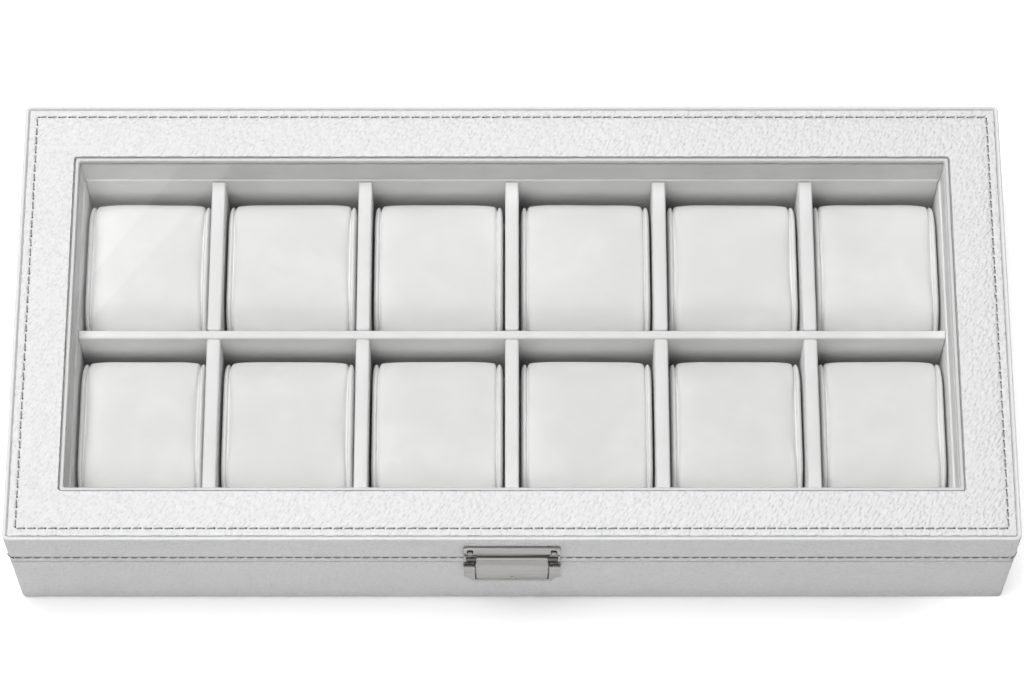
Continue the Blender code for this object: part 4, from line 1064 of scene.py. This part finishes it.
def pillows():
    """Each pillow is stuffed once for its width, then dented a little in its own way."""
    shapes = {}
    for node in (f"pillow_{row}_{column}" for row in ("front", "back") for column in PILLOW_COLUMNS):
        low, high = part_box(node)
        half_width = (high.x - low.x) / 2
        height = high.z - low.z
        key = round(half_width, 4)
        bm = pillow_blank(half_width, (high.y - low.y) / 2, height)
        if key not in shapes:
            shapes[key] = stuffed(bm, half_width)
        if key in shapes:
            for vert, place in zip(bm.verts, shapes[key]):
                vert.co = place
        cover = [vert for vert in bm.verts if abs(vert.co.x) < half_width - 2 * SEAM_INSET]
        for _ in range(SMOOTHING_PASSES):
            bmesh.ops.smooth_vert(
                bm, verts=cover, factor=0.5, use_axis_x=True, use_axis_y=True, use_axis_z=True,
            )
        centre = Vector(((low.x + high.x) / 2, (low.y + high.y) / 2, low.z))
        for vert in bm.verts:
            vert.co = dented(vert.co, centre, half_width, height)
        sunk = min(0.0, min(vert.co.z for vert in bm.verts))
        bmesh.ops.translate(bm, vec=centre - Vector((0, 0, sunk)), verts=bm.verts)
        piece = make_piece(f"stuffed_{node}", bm, [PILLOW_SUEDE], node, node, 180)
        finer = piece.modifiers.new("finer", "SUBSURF")
        finer.levels = 1
        finer.render_levels = 1


def hinge_screws():
    """Two domed cross-head screws in each leaf of each hinge."""
    face = LID_PLAN.back + HINGE_LEAF_FACE
    for side in ("left", "right"):
        low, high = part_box(f"hinge_{side}_pin")
        pin_z = (low.z + high.z) / 2
        for part, body in (("body", "box"), ("lid", "lid")):
            low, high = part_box(f"hinge_{side}_{part}_leaf")
            leaf_end, shift = (low, -HINGE_SCREW_SHIFT) if part == "body" else (high, HINGE_SCREW_SHIFT)
            z = (leaf_end.z + pin_z) / 2 + shift
            middle = (low.x + high.x) / 2
            bm = bmesh.new()
            for x in (middle - HINGE_SCREW_SPREAD, middle + HINGE_SCREW_SPREAD):
                add_screw_head(bm, Vector((x, face, z)))
            make_piece(f"hinge_{side}_{part}_screws", bm, [NICKEL], body)


def add_screw_head(bm, place):
    """A domed head on a plate that faces back, with a cross cut by pushing in a cross of faces."""
    head = bmesh.new()
    dome = Matrix.Diagonal((SCREW_RADIUS, SCREW_RADIUS, SCREW_HEIGHT, 1.0))
    bmesh.ops.create_uvsphere(head, u_segments=24, v_segments=12, radius=1.0, matrix=dome)
    cuts = [((0, 0, 0), (0, 0, 1), True)]
    for half in (SCREW_SLOT / 2, SCREW_RADIUS * SCREW_SLOT_REACH):
        for way in ((1, 0, 0), (0, 1, 0)):
            cuts += [(Vector(way) * half, way, False), (Vector(way) * -half, way, False)]
    for point, way, clear in cuts:
        bmesh.ops.bisect_plane(head, geom=everything(head), plane_co=point, plane_no=way, clear_inner=clear)
    cross = []
    for face in head.faces:
        x, y, z = face.calc_center_median()
        narrow, wide = sorted((abs(x), abs(y)))
        if narrow < SCREW_SLOT / 2 and wide < SCREW_RADIUS * SCREW_SLOT_REACH:
            cross.append(face)
    sunk = extrude_faces(head, cross)
    bmesh.ops.delete(head, geom=cross, context="FACES")
    bmesh.ops.translate(head, vec=(0, 0, -SCREW_HEIGHT * SCREW_SLOT_DEPTH), verts=sunk)
    rim = [edge for edge in head.edges if edge.is_boundary]
    bmesh.ops.holes_fill(head, edges=rim, sides=0)
    way = Matrix.Rotation(radians(-90), 4, "X") @ Matrix.Rotation(radians(SCREW_TURN), 4, "Z")
    bmesh.ops.transform(head, matrix=Matrix.Translation(place) @ way, verts=head.verts)
    face_out(head)
    mesh = mesh_from(head, "screw_head")
    bm.from_mesh(mesh)
    bpy.data.meshes.remove(mesh)


def dress_nodes():
    """Gives the CAD nodes that stay their finishes."""
    finishes = {
        "board": FIBREBOARD, "felt": FOOT_FELT, "nickel": NICKEL, "window_glass": WINDOW_GLASS,
        "velvet": TRAY_VELVET, "leather": STRETCHED_SKIN, "trim": TRIM_SKIN, "pillow": PILLOW_SUEDE,
    }
    for subpart in frame["record"]["subparts"]:
        mesh = frame["nodes"][subpart["node"]].data
        mesh.materials.clear()
        mesh.materials.append(finishes[subpart["material_slot"]])


def floor_material():
    """White paper that keeps the box's shadow in front, has painted light to the right of the box that lifts
    the box's shadow there, and shows white where nothing shades it.
    """
    material, tree, shader, place = start_material("white_paper", Roughness=0.9, Specular_IOR_Level=0.0)
    clouds = use_group(tree, "clouds", place, Cloud_Size=0.4)
    tone = blend_colours(tree, clouds["Cloud"], (0.9, 0.9, 0.9), (0.91, 0.91, 0.91))
    tree.links.new(tone, shader.inputs["Base Color"])
    path = add_node(tree, "LightPath").outputs
    seen = calc(tree, "MAXIMUM", path["Is Camera Ray"], path["Is Transmission Ray"])
    faint = calc(tree, "MULTIPLY", path["Is Glossy Ray"], MIRRORED_LIFT)
    rays = calc(tree, "MAXIMUM", seen, faint)
    parts = add_node(tree, "SeparateXYZ", {0: place}).outputs
    # painted light: the floor is lifted to the right of the box, where the box's shadow would fall
    side = ramp(tree, parts["X"], PAINTED_SIDE_LIGHT_START, PAINTED_SIDE_LIGHT_END)
    extra = calc(tree, "MULTIPLY_ADD", side, PAINTED_SIDE_LIGHT, FLOOR_LIFT)
    strength = calc(tree, "MULTIPLY", rays, extra)
    lift = add_node(tree, "Emission", {"Strength": strength})
    show(tree, add_node(tree, "AddShader", {0: shader.outputs[0], 1: lift.outputs[0]}))
    return material


def add_stage_sheet(name, size, matrix, material):
    """A flat square of the studio, which isn't part of the box."""
    bm = bmesh.new()
    bmesh.ops.create_grid(bm, x_segments=1, y_segments=1, size=size / 2, matrix=matrix)
    mesh = mesh_from(bm, name)
    mesh.materials.append(material)
    sheet = add_object(name, mesh)
    return sheet


def mirrored_strength(tree, way):
    """How bright the world looks in reflections, by direction: dim over the window and at the horizon."""
    parts = add_node(tree, "SeparateXYZ", {0: way}).outputs
    up = calc(tree, "MAXIMUM", parts["Z"], STEEPEST)
    masks = []
    for axis, middle, half in DIM_PATCH:
        slope = calc(tree, "DIVIDE", parts[axis], up)
        offset = calc(tree, "SUBTRACT", slope, middle)
        distance = calc(tree, "ABSOLUTE", offset)
        masks.append(ramp(tree, distance, half + DIM_PATCH_SOFTNESS, half))
    over_window = calc(tree, "MULTIPLY", *masks)
    above = ramp(tree, parts["Z"], *HORIZON_FOOT)
    below = ramp(tree, parts["Z"], *HORIZON_TOP)
    horizon = calc(tree, "MULTIPLY", above, below)
    dim = calc(tree, "MAXIMUM", over_window, horizon)
    return spread_value(tree, dim, BRIGHT_CEILING, DARK_CEILING)


def make_world():
    """White to the camera, a soft fill to all other rays but mirrored ones."""
    world = bpy.data.worlds.new("studio")
    bpy.context.scene.world = world
    world.use_nodes = True
    tree = world.node_tree
    tree.nodes.clear()
    path = add_node(tree, "LightPath").outputs
    ceiling = mirrored_strength(tree, add_node(tree, "TexCoord").outputs["Generated"])
    fill, mirrored, seen = (
        add_node(tree, "Background", {"Color": (1.0, 1.0, 1.0, 1.0), "Strength": strength})
        for strength in (FILL_STRENGTH, ceiling, 1.0)
    )
    mirror_rays = calc(tree, "MAXIMUM", path["Is Glossy Ray"], path["Is Transmission Ray"])
    with_mirrored = mix_shaders(tree, mirror_rays, fill, mirrored)
    all_rays = mix_shaders(tree, path["Is Camera Ray"], with_mirrored, seen)
    add_node(tree, "OutputWorld", {"Surface": all_rays.outputs[0]})


def soft_lamp(name, place, size, power):
    """An area lamp that points at the box and doesn't show in it."""
    light = bpy.data.lights.new(name, "AREA")
    light.shape = "RECTANGLE"
    light.size, light.size_y = size
    light.energy = power
    lamp = add_object(name, light)
    lamp.location = place
    lamp.rotation_euler = (-Vector(place)).to_track_quat("-Z", "Y").to_euler()
    lamp.visible_glossy = False
    lamp.visible_transmission = False


def reflection_card(name, start, end, reach, height, strength):
    """A lit panel that shows only in the glass. start and end are where its near edge shows there, in X and
    Y, and reach is how far it goes on from that edge."""
    glass = top_of("glass_pane")
    eye = Vector((CAMERA_PLACE[0], CAMERA_PLACE[1], 2 * glass - CAMERA_PLACE[2]))
    growth = (height - eye.z) / (glass - eye.z)
    start, end = (Vector((*point, glass)) for point in (start, end))
    along = end - start
    away = along.cross(Vector((0, 0, 1))).normalized() * reach
    middle = eye + ((start + end + away) / 2 - eye) * growth
    turn = Matrix.Rotation(math.atan2(along.y, along.x), 4, "Z")
    size = Matrix.Diagonal((along.length * CARD_STRETCH * growth, reach * growth, 1.0, 1.0))
    material = bpy.data.materials.new(name)
    material.use_nodes = True
    tree = material.node_tree
    show(tree, add_node(tree, "Emission", {"Strength": strength}))
    card = add_stage_sheet(name, 1.0, Matrix.Translation(middle) @ turn @ size, material)
    card.visible_camera = False
    card.visible_diffuse = False
    card.visible_shadow = False


def make_camera():
    camera = bpy.data.cameras.new("camera")
    camera.lens = CAMERA_LENS
    camera.sensor_width = CAMERA_SENSOR
    camera.clip_start = 0.05
    holder = add_object("camera", camera)
    holder.location = CAMERA_PLACE
    holder.rotation_euler = (radians(CAMERA_TILT), 0.0, 0.0)
    bpy.context.scene.camera = holder


def clear_leftovers():
    """Blender's start-up cube, lamp and camera."""
    for name in ("Cube", "Light", "Camera"):
        if name in bpy.data.objects:
            bpy.data.objects.remove(bpy.data.objects[name])


clear_leftovers()
dress_nodes()
body_leather()
lid_leather()
window_border()
window_edging()
stitch_row(
    "border_stitches", inset(LID_PLAN, STITCH_INSET), 0.0,
    PANEL_TOP - PANEL_CROWN - FURROW_DEPTH + THREAD_HALF_WIDTH * 0.3, STITCH_PITCH, STITCH_LENGTH,
    THREAD_HALF_WIDTH, STITCH_SLANT, "up",
)
stitch_row(
    "side_stitches", inset(LID_PLAN, SIDE_THREAD_HALF_WIDTH - SIDE_THREAD_STAND), OUTER_CORNER,
    LID_FOOT + SIDE_STITCH_RISE, SIDE_STITCH_PITCH, SIDE_STITCH_LENGTH,
    SIDE_THREAD_HALF_WIDTH, SIDE_STITCH_SLANT, "out",
)
lining_boards()
divider_boards()
metalwork()
pillows()
hinge_screws()
add_stage_sheet("floor", FLOOR_SIZE, Matrix.Translation((0, 0, -FLOOR_DROP)), floor_material())
make_world()
for name, settings in LAMPS.items():
    soft_lamp(name, *settings)
for name, settings in CARDS.items():
    reflection_card(name, *settings)
make_camera()
bpy.context.scene.view_settings.view_transform = "Standard"
